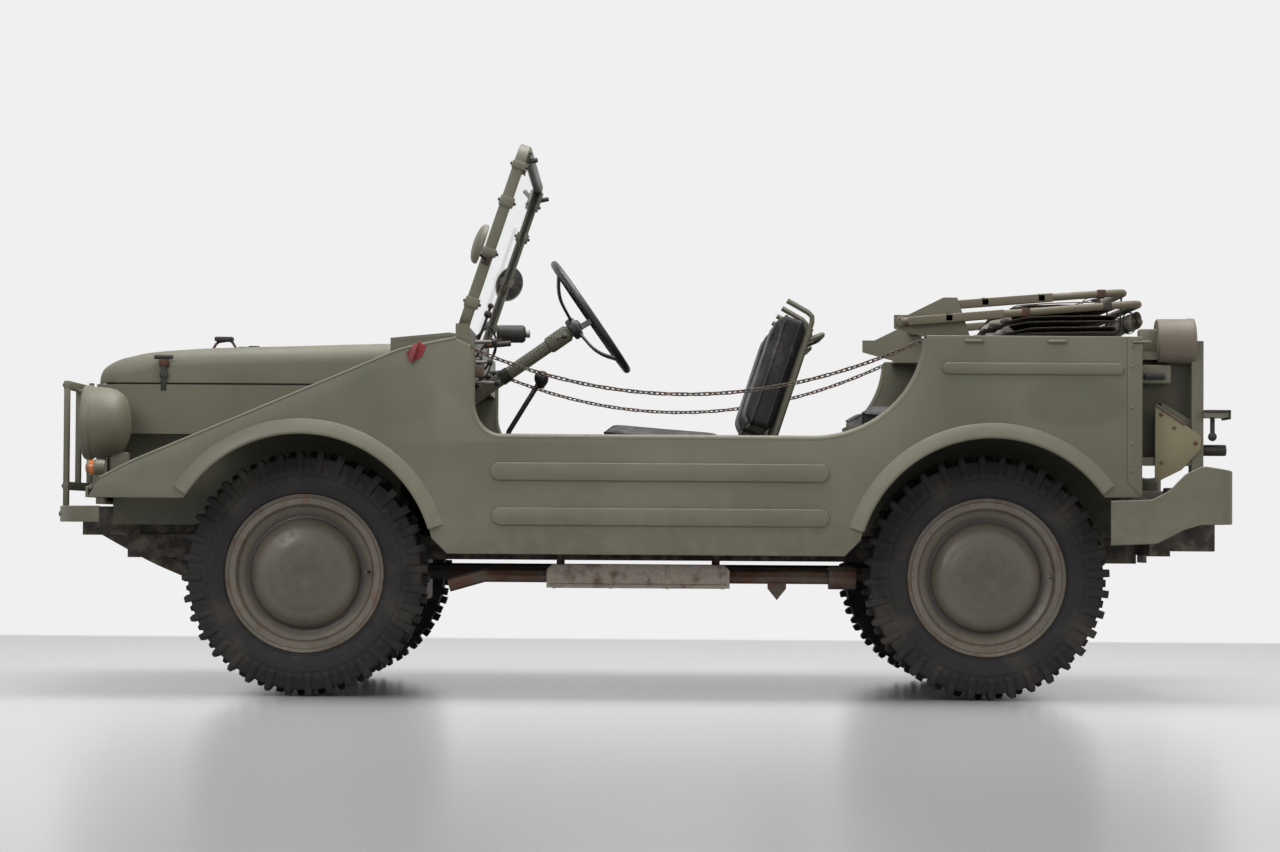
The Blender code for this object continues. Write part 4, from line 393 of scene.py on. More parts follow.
BLACK_RUBBER = plastic("black_rubber", linear(34, 33, 32), 0.6)
DIAL_FACE = plastic("dial_face", linear(24, 24, 24), 0.3)
DIAL_MARK = plastic("dial_mark", linear(205, 205, 195), 0.5)

SHARP_ANGLE = 34


def from_bm(bm, tidy=True):
    if tidy:
        bmesh.ops.recalc_face_normals(bm, faces=bm.faces)
    mesh = bpy.data.meshes.new("part")
    bm.to_mesh(mesh)
    bm.free()
    return mesh


def box(low, high, edge=0.0, steps=2):
    """A block between two corners, with rounded edges if edge is given."""
    bm = bmesh.new()
    bmesh.ops.create_cube(bm, size=1)
    low, high = Vector(low), Vector(high)
    for vert in bm.verts:
        vert.co = (low + high) / 2 + vert.co * (high - low)
    if edge:
        bmesh.ops.bevel(bm, geom=bm.edges, offset=edge, segments=steps, profile=0.5, affect="EDGES")
    return from_bm(bm)


def arc(centre, radius_u, radius_v, start, end, count):
    """Points of an ellipse's arc. The angles are in degrees from the first axis."""
    angles = [math.radians(start + (end - start) * i / count) for i in range(count + 1)]
    return [(centre[0] + radius_u * math.cos(a), centre[1] + radius_v * math.sin(a)) for a in angles]


def turned(profile, place=None, steps=64, start=0.0, end=360.0):
    """A profile of (radius, height) turned about Z. A full turn is closed."""
    full = end - start >= 360
    count = steps if full else steps + 1
    bm = bmesh.new()
    rings = []
    for radius, height in profile:
        if radius < POINT_RADIUS:
            rings.append([bm.verts.new((0, 0, height))])
            continue
        ring = []
        for i in range(count):
            angle = math.radians(start + (end - start) * i / steps)
            spot = (radius * math.cos(angle), radius * math.sin(angle), height)
            ring.append(bm.verts.new(spot))
        rings.append(ring)
    for one, two in zip(rings, rings[1:]):
        for i in range(steps):
            j = (i + 1) % count
            corners = [one[i % len(one)], one[j % len(one)], two[j % len(two)], two[i % len(two)]]
            corners = list(dict.fromkeys(corners))
            if len(corners) > 2:
                bm.faces.new(corners)
    if not full:
        bm.faces.new([ring[0] for ring in rings])
        bm.faces.new([ring[-1] for ring in rings])
    mesh = from_bm(bm)
    if place is not None:
        mesh.transform(place)
    return mesh


def circle(radius, sides):
    turn = 2 * math.pi / sides
    return [(radius * math.cos(turn * i), radius * math.sin(turn * i)) for i in range(sides)]


def bridge(bm, one, two, closed=False):
    """Faces between two rows of points."""
    for k in range(len(one) if closed else len(one) - 1):
        n = (k + 1) % len(one)
        bm.faces.new((one[k], one[n], two[n], two[k]))


def swept(path, section, closed=False, up=None):
    """A section carried along a path without twisting."""
    path = [Vector(point) for point in path]
    count = len(path)
    bm = bmesh.new()
    rings = []
    side = None
    for i, point in enumerate(path):
        after = path[(i + 1) % count] if closed or i + 1 < count else point
        before = path[i - 1] if closed or i else point
        along = (after - before).normalized()
        if side is None:
            guide = Vector(up) if up else Vector((0, 0, 1))
            if abs(along.dot(guide)) > 0.95:
                guide = Vector((1, 0, 0))
            side = along.cross(guide).normalized()
        side = (side - along * side.dot(along)).normalized()
        over = side.cross(along)
        rings.append([bm.verts.new(point + side * u + over * v) for u, v in section])
    for one, two in zip(rings, rings[1:] + rings[:1] if closed else rings[1:]):
        bridge(bm, one, two, True)
    if not closed:
        bm.faces.new(rings[0])
        bm.faces.new(rings[-1])
    return from_bm(bm)


def tube(path, radius, closed=False, sides=14):
    return swept(path, circle(radius, sides), closed)


def rod(start, end, radius, sides=18, edge=0.0):
    """A round bar whose ends may have a rounded edge."""
    start, end = Vector(start), Vector(end)
    along = end - start
    place = Matrix.Translation(start) @ along.to_track_quat("Z", "Y").to_matrix().to_4x4()
    length = along.length
    ends = [(0, 0), (radius - edge, 0)]
    if edge:
        ends += [(radius, edge), (radius, length - edge)]
    else:
        ends.append((radius, length))
    ends += [(radius - edge, length), (0, length)]
    profile = list(dict.fromkeys(ends))
    return turned(profile, place, sides)


def ball(centre, radius, squash=1.0):
    profile = arc((0, 0), radius, radius * squash, -90, 90, 12)
    profile[0] = (0, profile[0][1])
    profile[-1] = (0, profile[-1][1])
    return turned(profile, Matrix.Translation(centre), 24)


def rounded(path, radius, steps=6, closed=False):
    """A path whose corners are replaced by short curves. An open one keeps its ends."""
    path = [Vector(place) for place in path]
    if closed:
        path = [path[-1], *path, path[0]]
    result = [path[0]]
    for before, corner, after in zip(path, path[1:], path[2:]):
        reach = min(radius, (before - corner).length / 2, (after - corner).length / 2)
        first = corner + (before - corner).normalized() * reach
        last = corner + (after - corner).normalized() * reach
        for index in range(steps + 1):
            share = index / steps
            result.append(first.lerp(corner, share).lerp(corner.lerp(last, share), share))
    result.append(path[-1])
    return result[1:-1] if closed else result


def slab(half_u, half_v, radius, steps=3):
    """A rectangle with round corners, as a section."""
    corners = ((1, 1, 0), (-1, 1, 90), (-1, -1, 180), (1, -1, 270))
    points = []
    for side_u, side_v, turn in corners:
        middle = (side_u * (half_u - radius), side_v * (half_v - radius))
        points += arc(middle, radius, radius, turn, turn + 90, steps)
    return points


def wire(path, bend, radius, steps=5, sides=10):
    """A round bar with bent corners."""
    return tube(rounded(path, bend, steps), radius, sides=sides)


def band(path, bend, section, steps=5, closed=False, up=None):
    """A flat bar or strap with bent corners."""
    return swept(rounded(path, bend, steps, closed), slab(*section), closed, up)


def prism(outline, axis, low, high, edge=0.0, steps=3):
    """A flat outline given its thickness along an axis, with rounded rims."""
    places = {"X": lambda u, v: (low, u, v), "Y": lambda u, v: (u, low, v), "Z": lambda u, v: (u, v, low)}
    shift = {"X": (high - low, 0, 0), "Y": (0, high - low, 0), "Z": (0, 0, high - low)}
    bm = bmesh.new()
    verts = [bm.verts.new(places[axis](*point)) for point in outline]
    base = bm.faces.new(verts)
    made = bmesh.ops.extrude_face_region(bm, geom=[base])["geom"]
    top = [item for item in made if isinstance(item, bmesh.types.BMFace)]
    bmesh.ops.translate(bm, vec=shift[axis], verts=[v for v in made if isinstance(v, bmesh.types.BMVert)])
    if not base.is_valid:
        base = bm.faces.new(verts)
    if edge:
        rim = {e for face in (base, *top) for e in face.edges}
        bmesh.ops.bevel(
            bm, geom=list(rim), offset=edge, segments=steps, profile=0.5, affect="EDGES", clamp_overlap=True
        )
    return from_bm(bm)


class Piece:
    """A visible piece that is gathered from meshes, which may have different finishes."""

    def __init__(self, name):
        self.name = name
        self.bm = bmesh.new()
        self.materials = []

    def add(self, mesh, finish, place=None):
        if finish.material not in self.materials:
            self.materials.append(finish.material)
        if place is not None:
            mesh = mesh.copy()
            mesh.transform(place)
            if place.to_3x3().determinant() < 0:
                mesh.flip_normals()
        first = len(self.bm.faces)
        self.bm.from_mesh(mesh)
        self.bm.faces.ensure_lookup_table()
        for face in self.bm.faces[first:]:
            face.material_index = self.materials.index(finish.material)
            face.smooth = True
        return self

    def add_rows(self, rows, place=None):
        """Adds small parts from a table. A row holds a form, its finish and its sizes."""
        for form, finish, *sizes in rows:
            self.add(form(*sizes), finish, place)
        return self

    def show(self, body, slot, *nodes):
        mesh = bpy.data.meshes.new(self.name)
        self.bm.to_mesh(mesh)
        self.bm.free()
        mesh.set_sharp_from_angle(angle=math.radians(SHARP_ANGLE))
        for material in self.materials:
            mesh.materials.append(material)
        obj = bpy.data.objects.new(self.name, mesh)
        bpy.context.scene.collection.objects.link(obj)
        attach(obj, body)
        if nodes:
            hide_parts(*nodes)
        return obj


FLIP = Matrix.Diagonal((1, -1, 1, 1))
SIDES = (("left", Matrix.Identity(4)), ("right", FLIP))


def set_camera():
    data = bpy.data.cameras.new("camera")
    data.sensor_width = SENSOR_WIDTH
    data.lens = PHOTO_FOCAL * SENSOR_WIDTH / PHOTO_WIDTH
    data.clip_end = 200
    camera = bpy.data.objects.new("camera", data)
    bpy.context.scene.collection.objects.link(camera)
    level = Matrix.Rotation(math.radians(90 + CAMERA_PITCH_ANGLE), 4, "X")
    roll = Matrix.Rotation(math.radians(CAMERA_ROLL_ANGLE), 4, "Z")
    camera.matrix_world = Matrix.Translation(CAMERA_PLACE) @ level @ roll
    bpy.context.scene.camera = camera


WALL_COLOUR = linear(240, 240, 240)
FLOOR_COLOUR = linear(176, 176, 177)
FLOOR_REACH = 60


def set_stage():
    """A pale floor that ends softly behind the car, where the pale wall begins."""
    bm = bmesh.new()
    bmesh.ops.create_grid(bm, x_segments=1, y_segments=1, size=FLOOR_REACH)
    mesh = from_bm(bm)
    floor = bpy.data.objects.new("floor", mesh)
    bpy.context.scene.collection.objects.link(floor)
    f = Finish("floor", roughness=0.24)
    beyond = f.range(f.axis("Y"), WALL_Y, WALL_Y + WALL_SOFTNESS)
    cloud = f.range(f.noise(0.5, 3), 0.3, 0.7, 0, 1)
    f.set("Base Color", f.mix(cloud, FLOOR_COLOUR, shade(FLOOR_COLOUR, 0.95)))
    f.set("Specular IOR Level", 0.5)
    wall = f.node("ShaderNodeEmission", {"Color": WALL_COLOUR})
    blend = f.node("ShaderNodeMixShader", {0: beyond, 1: f.shader.outputs[0], 2: wall.outputs[0]})
    f.put(f.tree.nodes["Material Output"].inputs["Surface"], blend.outputs[0])
    mesh.materials.append(f.material)


SKY_STRENGTH = 0.44
LAMP_AIM = Vector((0, 0, 0.6))
# Lamps: name, place, width and power in watts
LAMPS = (
    ("top_lamp", (0.2, -0.6, 5.0), 4.0, 330),
    ("key_lamp", (-3.6, -6.0, 4.0), 2.6, 132),
    ("fill_lamp", (5.0, -5.0, 2.4), 2.6, 80),
)


def set_light():
    """The world lights evenly, and shows itself as the pale wall. Soft lamps add shape."""
    world = bpy.data.worlds.new("studio")
    bpy.context.scene.world = world
    world.use_nodes = True
    tree = world.node_tree
    path = tree.nodes.new("ShaderNodeLightPath")
    seen = path.outputs["Is Camera Ray"]
    for ray in ("Is Glossy Ray", "Is Transmission Ray"):
        either = tree.nodes.new("ShaderNodeMath")
        either.operation = "MAXIMUM"
        tree.links.new(seen, either.inputs[0])
        tree.links.new(path.outputs[ray], either.inputs[1])
        seen = either.outputs[0]
    sky = tree.nodes["Background"]
    sky.inputs["Color"].default_value = (1, 1, 1, 1)
    sky.inputs["Strength"].default_value = SKY_STRENGTH
    wall = tree.nodes.new("ShaderNodeBackground")
    wall.inputs["Color"].default_value = WALL_COLOUR
    blend = tree.nodes.new("ShaderNodeMixShader")
    tree.links.new(seen, blend.inputs[0])
    tree.links.new(sky.outputs[0], blend.inputs[1])
    tree.links.new(wall.outputs[0], blend.inputs[2])
    tree.links.new(blend.outputs[0], tree.nodes["World Output"].inputs["Surface"])
    for name, place, size, power in LAMPS:
        data = bpy.data.lights.new(name, "AREA")
        data.size = size
        data.energy = power
        lamp = bpy.data.objects.new(name, data)
        lamp.location = place
        lamp.rotation_euler = (LAMP_AIM - Vector(place)).to_track_quat("-Z", "Y").to_euler()
        lamp.visible_glossy = name != "fill_lamp"
        bpy.context.scene.collection.objects.link(lamp)


# What stays of the solid model: its finish
KEPT = {
    OLIVE_PAINT: (
        "front_wing_left", "front_wing_right", "grille_panel", "cowl", "rear_panel", "deck_rail_left",
        "deck_rail_right", "steering_column",
    ),
    INNER_PAINT: ("front_floor", "rear_tub", "seat_left_frame", "seat_right_frame", "rear_seat_frame"),
    UNDERBODY_AND_SHADE_PAINT: ("chassis_frame", "front_lower_arms", "rear_axle", "knuckle_left", "knuckle_right"),
    BLACK_PAINT: ("tow_hitch", "gear_lever"),
    CAST_IRON: ("engine_block", "transaxle", "rear_driveline"),
    RUSTY: ("exhaust",),
    GLASS: ("windscreen_glass",),
}


def finish_solids():
    for finish, names in KEPT.items():
        for name in names:
            mesh = NODES[name].data
            mesh.materials.clear()
            mesh.materials.append(finish.material)
            mesh.shade_smooth()
            mesh.set_sharp_from_angle(angle=math.radians(SHARP_ANGLE))


def arch_angle(height):
    return math.degrees(math.asin((height - ARCH_Z) / ARCH_RADIUS))


def side_outline():
    """The body side: apron, arch, sill, arch, tail, deck, door opening and wing."""
    low = arch_angle(SILL_BOTTOM + SILL_CHAMFER)
    reach = ARCH_RADIUS * math.cos(math.radians(low))
    front, rear = (FRONT_X, ARCH_Z), (REAR_X, ARCH_Z)
    points = [(SIDE_NOSE_X, APRON_BOTTOM)]
    points += arc(front, ARCH_RADIUS, ARCH_RADIUS, 180 - arch_angle(APRON_BOTTOM), low, 48)
    points.append((FRONT_X + reach + SILL_CHAMFER, SILL_BOTTOM))
    points.append((REAR_X - reach - SILL_CHAMFER, SILL_BOTTOM))
    points += arc(rear, ARCH_RADIUS, ARCH_RADIUS, 180 - low, arch_angle(TAIL_BOTTOM), 48)
    points += [(TAIL_X, TAIL_BOTTOM), (TAIL_X, DECK_Z)]
    sweep = (DOOR_REAR_X - DOOR_SWEEP, DECK_Z)
    points += arc(sweep, DOOR_SWEEP, DECK_Z - SILL_TOP, 0, -90, 32)
    corner = (DOOR_FRONT_X + DOOR_CORNER[0], SILL_TOP + DOOR_CORNER[1])
    points += arc(corner, *DOOR_CORNER, -90, -180, 16)
    return points + [(DOOR_FRONT_X, PILLAR_TOP_Z), SCUTTLE, WING_TOP, WING_SLOPE, WING_CREASE]


# Pressed ribs: start x, end x, bottom z, top z
RIBS = ((-0.438, 0.541, 0.635, 0.687), (-0.433, 0.541, 0.506, 0.557), (0.866, 1.391, 0.95, 0.984))
RIB_RISE = 0.008
LOOP_SPOTS = (0.957, 1.197, 1.442)
LOOP_WIDTH = 0.05
LOOP_OUT = 0.012
LOOP_Z = 1.046
STRIP = (1.401, 1.443, 0.6, 1.057)
STRIP_RIVET_SHARES = (0.16, 0.33, 0.56, 0.82, 0.95)
WING_SEAM = 0.005
WING_SEAM_BEND = 0.03
DOOR_HEM = 0.0118


def rib(start, end, bottom, top):
    """A pressed rib with round ends and soft rims."""
    radius = (top - bottom) / 2
    middle = (top + bottom) / 2
    outline = arc((end - radius, middle), radius, radius, -90, 90, 14)
    outline += arc((start + radius, middle), radius, radius, 90, 270, 14)
    return prism(outline, "Y", -SIDE_Y - RIB_RISE, -SIDE_Y + RIB_RISE * 2, RIB_RISE / 2, 3)


def flare(axle_x, start, end):
    """The band round an arch: proud at its lip and sloping back to the panel."""
    profile = [
        (ARCH_RADIUS - SINK, -SINK * 3),
        (ARCH_RADIUS - SINK, FLARE_RISE - SINK),
        (ARCH_RADIUS - SINK / 2, FLARE_RISE - SINK / 3),
        (ARCH_RADIUS + SINK / 2, FLARE_RISE),
        (ARCH_RADIUS + SINK * 2, FLARE_RISE - SINK / 3),
        (ARCH_RADIUS + FLARE_WIDTH - SINK, SINK),
        (ARCH_RADIUS + FLARE_WIDTH, 0),
        (ARCH_RADIUS + FLARE_WIDTH, -SINK * 3),
    ]
    profile.append(profile[0])
    face = Matrix.Translation((axle_x, -SIDE_Y, ARCH_Z)) @ Matrix.Rotation(math.radians(90), 4, "X")
    return turned(profile, face, 72, start, end)


HEAD_SHARE = 0.5


def rivets(spots, y, radius):
    """Low round heads on a face that looks to the left."""
    bm = bmesh.new()
    for x, z in spots:
        head = ball((0, 0, 0), radius, HEAD_SHARE)
        head.transform(Matrix.Translation((x, y, z)) @ Matrix.Rotation(math.radians(90), 4, "X"))
        bm.from_mesh(head)
    return from_bm(bm)


def canvas_loop(x):
    """A flat wire loop that the canvas was tied to, and the foot behind it."""
    half, out = LOOP_WIDTH / 2, -SIDE_Y - LOOP_OUT
    ring = [(x - half, -SIDE_Y, LOOP_Z), (x - half, out, LOOP_Z)]
    ring += [(x + half, out, LOOP_Z), (x + half, -SIDE_Y, LOOP_Z)]
    low = (x - half, -SIDE_Y - SINK, LOOP_Z - SINK * 2)
    high = (x + half, SINK - SIDE_Y, LOOP_Z + SINK * 2)
    return wire(ring, LOOP_OUT / 2, SINK, 3, 8), box(low, high, SINK / 2)


def door_edge():
    """The rolled edge of the door opening, from its rear top to the front pillar."""
    sweep = (DOOR_REAR_X - DOOR_SWEEP, DECK_Z)
    points = arc(sweep, DOOR_SWEEP, DECK_Z - SILL_TOP, -2, -90, 32)
    corner = (DOOR_FRONT_X + DOOR_CORNER[0], SILL_TOP + DOOR_CORNER[1])
    points += arc(corner, *DOOR_CORNER, -90, -180, 16)
    return points + [(DOOR_FRONT_X, PILLAR_TOP_Z - DOOR_HEM)]


def body_sides():
    low = arch_angle(SILL_BOTTOM + SILL_CHAMFER)
    x0, x1, z0, z1 = STRIP
    width = x1 - x0
    strip = [(x0, z0 + width), (x1 - SINK, z0), (x1, z0 + SINK), (x1, z1), (x0, z1)]
    heads = [(x0 + width / 3, z0 + (z1 - z0) * share) for share in STRIP_RIVET_SHARES]
    crease = [(x, SINK - SIDE_Y, z + SINK / 3) for x, z in (WING_CREASE, WING_SLOPE, WING_TOP, SCUTTLE)]
    hem = [(x, SIDE_THICK / 2 - SIDE_Y, z) for x, z in door_edge()]
    meshes = [
        prism(side_outline(), "Y", -SIDE_Y, SIDE_THICK - SIDE_Y, SIDE_EDGE),
        flare(FRONT_X, low + 4, 178 - arch_angle(APRON_BOTTOM)),
        flare(REAR_X, arch_angle(TAIL_BOTTOM) + 2, 176 - low),
        prism(strip, "Y", -SIDE_Y - SINK, SINK - SIDE_Y, SINK / 3),
        wire(crease, WING_SEAM_BEND, WING_SEAM, 6),
        tube(hem, DOOR_HEM, sides=12),
        rivets(heads, -SIDE_Y - SINK, RIVET_RADIUS),
    ]
    for x in LOOP_SPOTS:
        meshes += canvas_loop(x)
    meshes += [rib(*row) for row in RIBS]
    for side, flip in SIDES:
        piece = Piece("body_side_" + side)
        for mesh in meshes:
            piece.add(mesh, SIDE_PAINT, flip)
        piece.show("car", "olive_paint", "side_panel_" + side)


# Bonnet: top line in the side view, from the nose to the hinge
BONNET_LINE = (
    (-1.626, 0.925), (-1.6255, 0.948), (-1.611, 0.972), (-1.573, 0.993), (-1.528, 1.005), (-1.468, 1.017),
    (-1.319, 1.029), (-1.15, 1.035), (-1.021, 1.039), (-0.88, 1.044), (-0.738, 1.048),
)
BONNET_CORNER = 0.055
BONNET_NOSE = 0.09
BONNET_CROWN = 0.012
BONNET_CROWN_START = 0.1
BONNET_WALL = 0.004
HINGE = (-0.7345, 1.0555)
HINGE_HALF = 0.3
HINGE_LEAF = (0.024, 0.012)
HINGE_RIVET_X = -0.7485
HINGE_RIVET_SPOTS = np.linspace(-0.25, 0.25, 7)
BARREL = 0.005

# Rubber strap of the bonnet's left side, with its grip
STRAP_ROWS = (
    (rod, BLACK_RUBBER, (-1.457, -0.506, 1.0), (-1.401, -0.506, 1.0), 0.0065, 14, 0.002),
    (box, DARK_STEEL, (-1.443, -0.508, 0.972), (-1.415, -0.49, 1.004), 0.003),
    (box, BLACK_RUBBER, (-1.4375, -0.507, 0.9), (-1.4205, -0.499, 0.985), 0.003),
    (box, BLACK_RUBBER, (-1.441, -0.5085, 0.938), (-1.417, -0.498, 0.958), 0.003),
)
SEAL_ROWS = (
    (box, BLACK_RUBBER, (-1.575, -0.4965, 0.9), (-0.765, -0.481, 0.912), 0.001),
    (box, BLACK_RUBBER, (-1.575, -0.487, 0.905), (-0.765, -0.481, 0.946), 0.002),
)
# Padded rest for the folded windscreen, as it is at y = 0, and where it stands
REST_SPOTS = (-0.3, 0.3)
REST_WIRE = ((-1.31, 0, 1.03), (-1.296, 0, 1.056), (-1.252, 0, 1.062), (-1.235, 0, 1.032))
REST_ROWS = (
    (wire, DARK_STEEL, REST_WIRE, 0.012, 0.004, 4),
    (box, BLACK_RUBBER, (-1.302, -0.02, 1.058), (-1.246, 0.02, 1.072), 0.004),
    (box, BLACK_RUBBER, (-1.2, -0.012, 1.03), (-1.165, 0.012, 1.045), 0.004),
)


def smooth_line(points, steps):
    """Points on a smooth curve through the given ones, more of them."""
    points = [Vector(point) for point in points]
    ends = [points[0] * 2 - points[1], *points, points[-1] * 2 - points[-2]]
    result = []
    for a, b, c, d in zip(ends, ends[1:], ends[2:], ends[3:]):
        for i in range(steps):
            t = i / steps
            bend = 2 * b + (c - a) * t + (2 * a - 5 * b + 4 * c - d) * t * t
            result.append((bend + (3 * b - a - 3 * c + d) * t ** 3) / 2)
    return result + [points[-1]]


def applied(obj):
    """The object's evaluated mesh. The object goes."""
    bpy.context.view_layer.update()
    graph = bpy.context.evaluated_depsgraph_get()
    mesh = bpy.data.meshes.new_from_object(obj.evaluated_get(graph))
    bpy.data.objects.remove(obj, do_unlink=True)
    return mesh


def linked(name, mesh):
    """A new object of the mesh, in the scene."""
    obj = bpy.data.objects.new(name, mesh)
    bpy.context.scene.collection.objects.link(obj)
    return obj


def pressed_lid():
    """The bonnet's sheet, with a soft nose, round shoulders and a light crown."""
    bm = bmesh.new()
    rows = []
    for x, top in smooth_line(BONNET_LINE, 5):
        into = max(0, min(1, (BONNET_LINE[0][0] + BONNET_NOSE - x) / BONNET_NOSE))
        half = BAY_HALF - BONNET_NOSE * (1 - math.sqrt(1 - into * into)) / 2
        radius = min(BONNET_CORNER, top - SHUT_LINE)
        inner = half - radius
        crown = BONNET_CROWN * min(1, (top - SHUT_LINE) / BONNET_CROWN_START)
        places = [(-half, SHUT_LINE)]
        places += arc((-inner, top - radius), radius, radius, 180, 90, 8)
        for i in range(1, 16):
            y = -inner + 2 * inner * i / 16
            places.append((y, top + crown * (1 - (y / inner) ** 2)))
        places += arc((inner, top - radius), radius, radius, 90, 0, 8)
        places.append((half, SHUT_LINE))
        rows.append([bm.verts.new((x, y, z)) for y, z in places])
    for one, two in zip(rows, rows[1:]):
        bridge(bm, one, two)
    shell = linked("shell", from_bm(bm))
    wall = shell.modifiers.new("Wall", "SOLIDIFY")
    wall.thickness = BONNET_WALL
    wall.offset = -1
    wall.use_even_offset = True
    return applied(shell)


def bonnet():
    piece = Piece("bonnet_lid").add(pressed_lid(), OLIVE_PAINT)
    x, z = HINGE
    low, high = (x, -HINGE_HALF, z), (x, HINGE_HALF, z)
    piece.add(rod(low, high, BARREL), OLIVE_PAINT)
    piece.add(box((x - HINGE_LEAF[0], -HINGE_HALF, z - HINGE_LEAF[1]), high, SINK / 2), OLIVE_PAINT)
    for y in HINGE_RIVET_SPOTS:
        piece.add(ball((HINGE_RIVET_X, y, z), BARREL, HEAD_SHARE), OLIVE_PAINT)
    seal = Piece("bonnet_seal")
    for _, flip in SIDES:
        piece.add_rows(STRAP_ROWS, flip)
        seal.add_rows(SEAL_ROWS, flip)
    seal.show("car", "black_plastic")
    for y in REST_SPOTS:
        piece.add_rows(REST_ROWS, Matrix.Translation((0, y, 0)))
    piece.show("bonnet_lid", "olive_paint", "bonnet")


# Wheel: rim, disc and domed cap, from the middle outward and round the back
CAP = (
    (0, 0.0722), (0.014, 0.0722), (0.02, 0.0736), (0.05, 0.0738), (0.084, 0.0722), (0.106, 0.0692),
    (0.11, 0.067), (0.118, 0.0662), (0.134, 0.0602), (0.147, 0.0512), (0.155, 0.0405), (0.1592, 0.031),
    (0.16, 0.0245),
)
RIM = (
    (0.164, 0.0212), (0.17, 0.0205), (0.177, 0.0235), (0.184, 0.03), (0.1905, 0.0325), (0.196, 0.036),
    (0.1985, 0.046), (0.201, 0.0565), (0.2055, 0.061), (0.213, 0.0625), (0.2205, 0.0622), (0.2255, 0.0652),
    (0.2285, 0.069), (0.2305, 0.0705), (0.2325, 0.0695), (0.2325, 0.0655), (0.2305, 0.0632),
    (0.2045, 0.0625), (0.2045, -0.0625), (0.2305, -0.0632), (0.2325, -0.0695), (0.2305, -0.0705),
    (0.196, -0.0625), (0.192, 0.016), (0.12, 0.01), (0.12, -0.045), (0.0456, -0.045), (0.0456, 0), (0, 0),
)
VALVE_ROWS = (
    (rod, BLACK_RUBBER, (0.186, 0.006, 0.03), (0.182, 0.006, 0.056), 0.0042, 12),
    (rod, STEEL, (0.182, 0.006, 0.054), (0.181, 0.006, 0.066), 0.0034, 12),
)


def wheels():
    disc = turned(CAP + RIM, steps=120)
    for name, (x, side) in WHEEL_SPOTS.items():
        turn = Matrix.Rotation(math.radians(-90 * side), 4, "X")
        place = Matrix.Translation((x, side * WHEEL_Y, AXLE_Z)) @ turn
        piece = Piece("wheel_disc_" + name).add(disc, WHEEL_PAINT, place)
        piece.add_rows(VALVE_ROWS, place)
        piece.show(name + "_wheel", "olive_paint", "wheel_" + name)


# Tyre's lugs, as shares of their pitch: the cuts along it, a lug's foot and top, and the
# small rib between two, which is lower
LUG_COUNT = 36
LUG_CUT_SHARES = (
    0.0, 0.055, 0.075, 0.16, 0.25, 0.34, 0.425, 0.445, 0.5, 0.555, 0.575, 0.66, 0.75, 0.84, 0.925, 0.945,
)
LUG_FOOT_SHARES = (0.055, 0.445)
LUG_TOP_SHARES = (0.075, 0.425)
RIB_SHARES = (0.66, 0.84)
RIB_OUT_SHARE = 0.45
LUG_SLOPE_SHARE = 0.9
LUG_OUT = 0.0075
TREAD_BASE = 0.342
# Tyre's half profile from the bead to the middle of the tread: radius, distance out, share
# of the lug's height that stands out there, and share of it that stands up
WALL_SHARES = (
    (0.2045, 0.0, 0, 0), (0.2045, 0.058, 0, 0), (0.216, 0.0615, 0, 0), (0.2335, 0.0668, 0, 0),
    (0.2365, 0.0718, 0, 0), (0.2385, 0.0745, 0, 0), (0.2405, 0.0748, 0, 0), (0.2425, 0.0736, 0, 0),
    (0.2455, 0.0744, 0, 0), (0.256, 0.0778, 0, 0), (0.268, 0.0802, 0, 0), (0.28, 0.0812, 0, 0),
    (0.2835, 0.0813, 0, 0), (0.2845, 0.0825, 0, 0), (0.2865, 0.0825, 0, 0), (0.2875, 0.0811, 0, 0),
    (0.294, 0.0804, 0, 0), (0.2985, 0.0794, 0.2, 0), (0.3025, 0.0784, 0.8, 0), (0.311, 0.0766, 0.85, 0),
    (0.322, 0.0738, 0.7, 0.1), (0.332, 0.0714, 0.6, 0.5), (0.3385, 0.07, 0.6, 0.9),
    (0.3415, 0.067, 0.35, 1), (0.342, 0.06, 0, 1), (0.342, 0.046, 0, 1), (0.342, 0.032, 0, 1),
    (0.342, 0.018, 0, 1), (0.342, 0.013, 0, 1), (0.342, 0.0105, 0, 0), (0.342, 0.0, 0, 0),
)


def lug_height(phase):
    """1 on a lug, a half on its flanks and 0 between two."""
    if LUG_TOP_SHARES[0] <= phase <= LUG_TOP_SHARES[1]:
        return 1
    return 1 / 2 if LUG_FOOT_SHARES[0] < phase < LUG_FOOT_SHARES[1] else 0


def tyre_mesh():
    """A tyre with upright lugs on both shoulders, staggered, and small ribs between."""
    shares = [(i + edge) / LUG_COUNT for i in range(LUG_COUNT) for edge in LUG_CUT_SHARES]
    bm = bmesh.new()
    rows = []
    slope = (TYRE_RADIUS - TREAD_BASE) * LUG_SLOPE_SHARE
    half = [(*row, 0) for row in WALL_SHARES]
    other = [(r, -y, -out, up, 1 / 2) for r, y, out, up in reversed(WALL_SHARES[1:-1])]
    for radius, y, out, up, shift in half + other:
        ring = []
        for share in shares:
            phase = (share * LUG_COUNT + shift) % 1
            tall = lug_height(phase)
            small = RIB_OUT_SHARE if RIB_SHARES[0] <= phase <= RIB_SHARES[1] and not up else 0
            reach = radius + up * tall * (TYRE_RADIUS - radius if up == 1 else slope)
            angle = 2 * math.pi * share
            side = y + out * LUG_OUT * max(tall, small)
            ring.append(bm.verts.new((reach * math.cos(angle), side, reach * math.sin(angle))))
        rows.append(ring)
    for one, two in zip(rows, rows[1:] + rows[:1]):
        bridge(bm, one, two, True)
    return from_bm(bm)


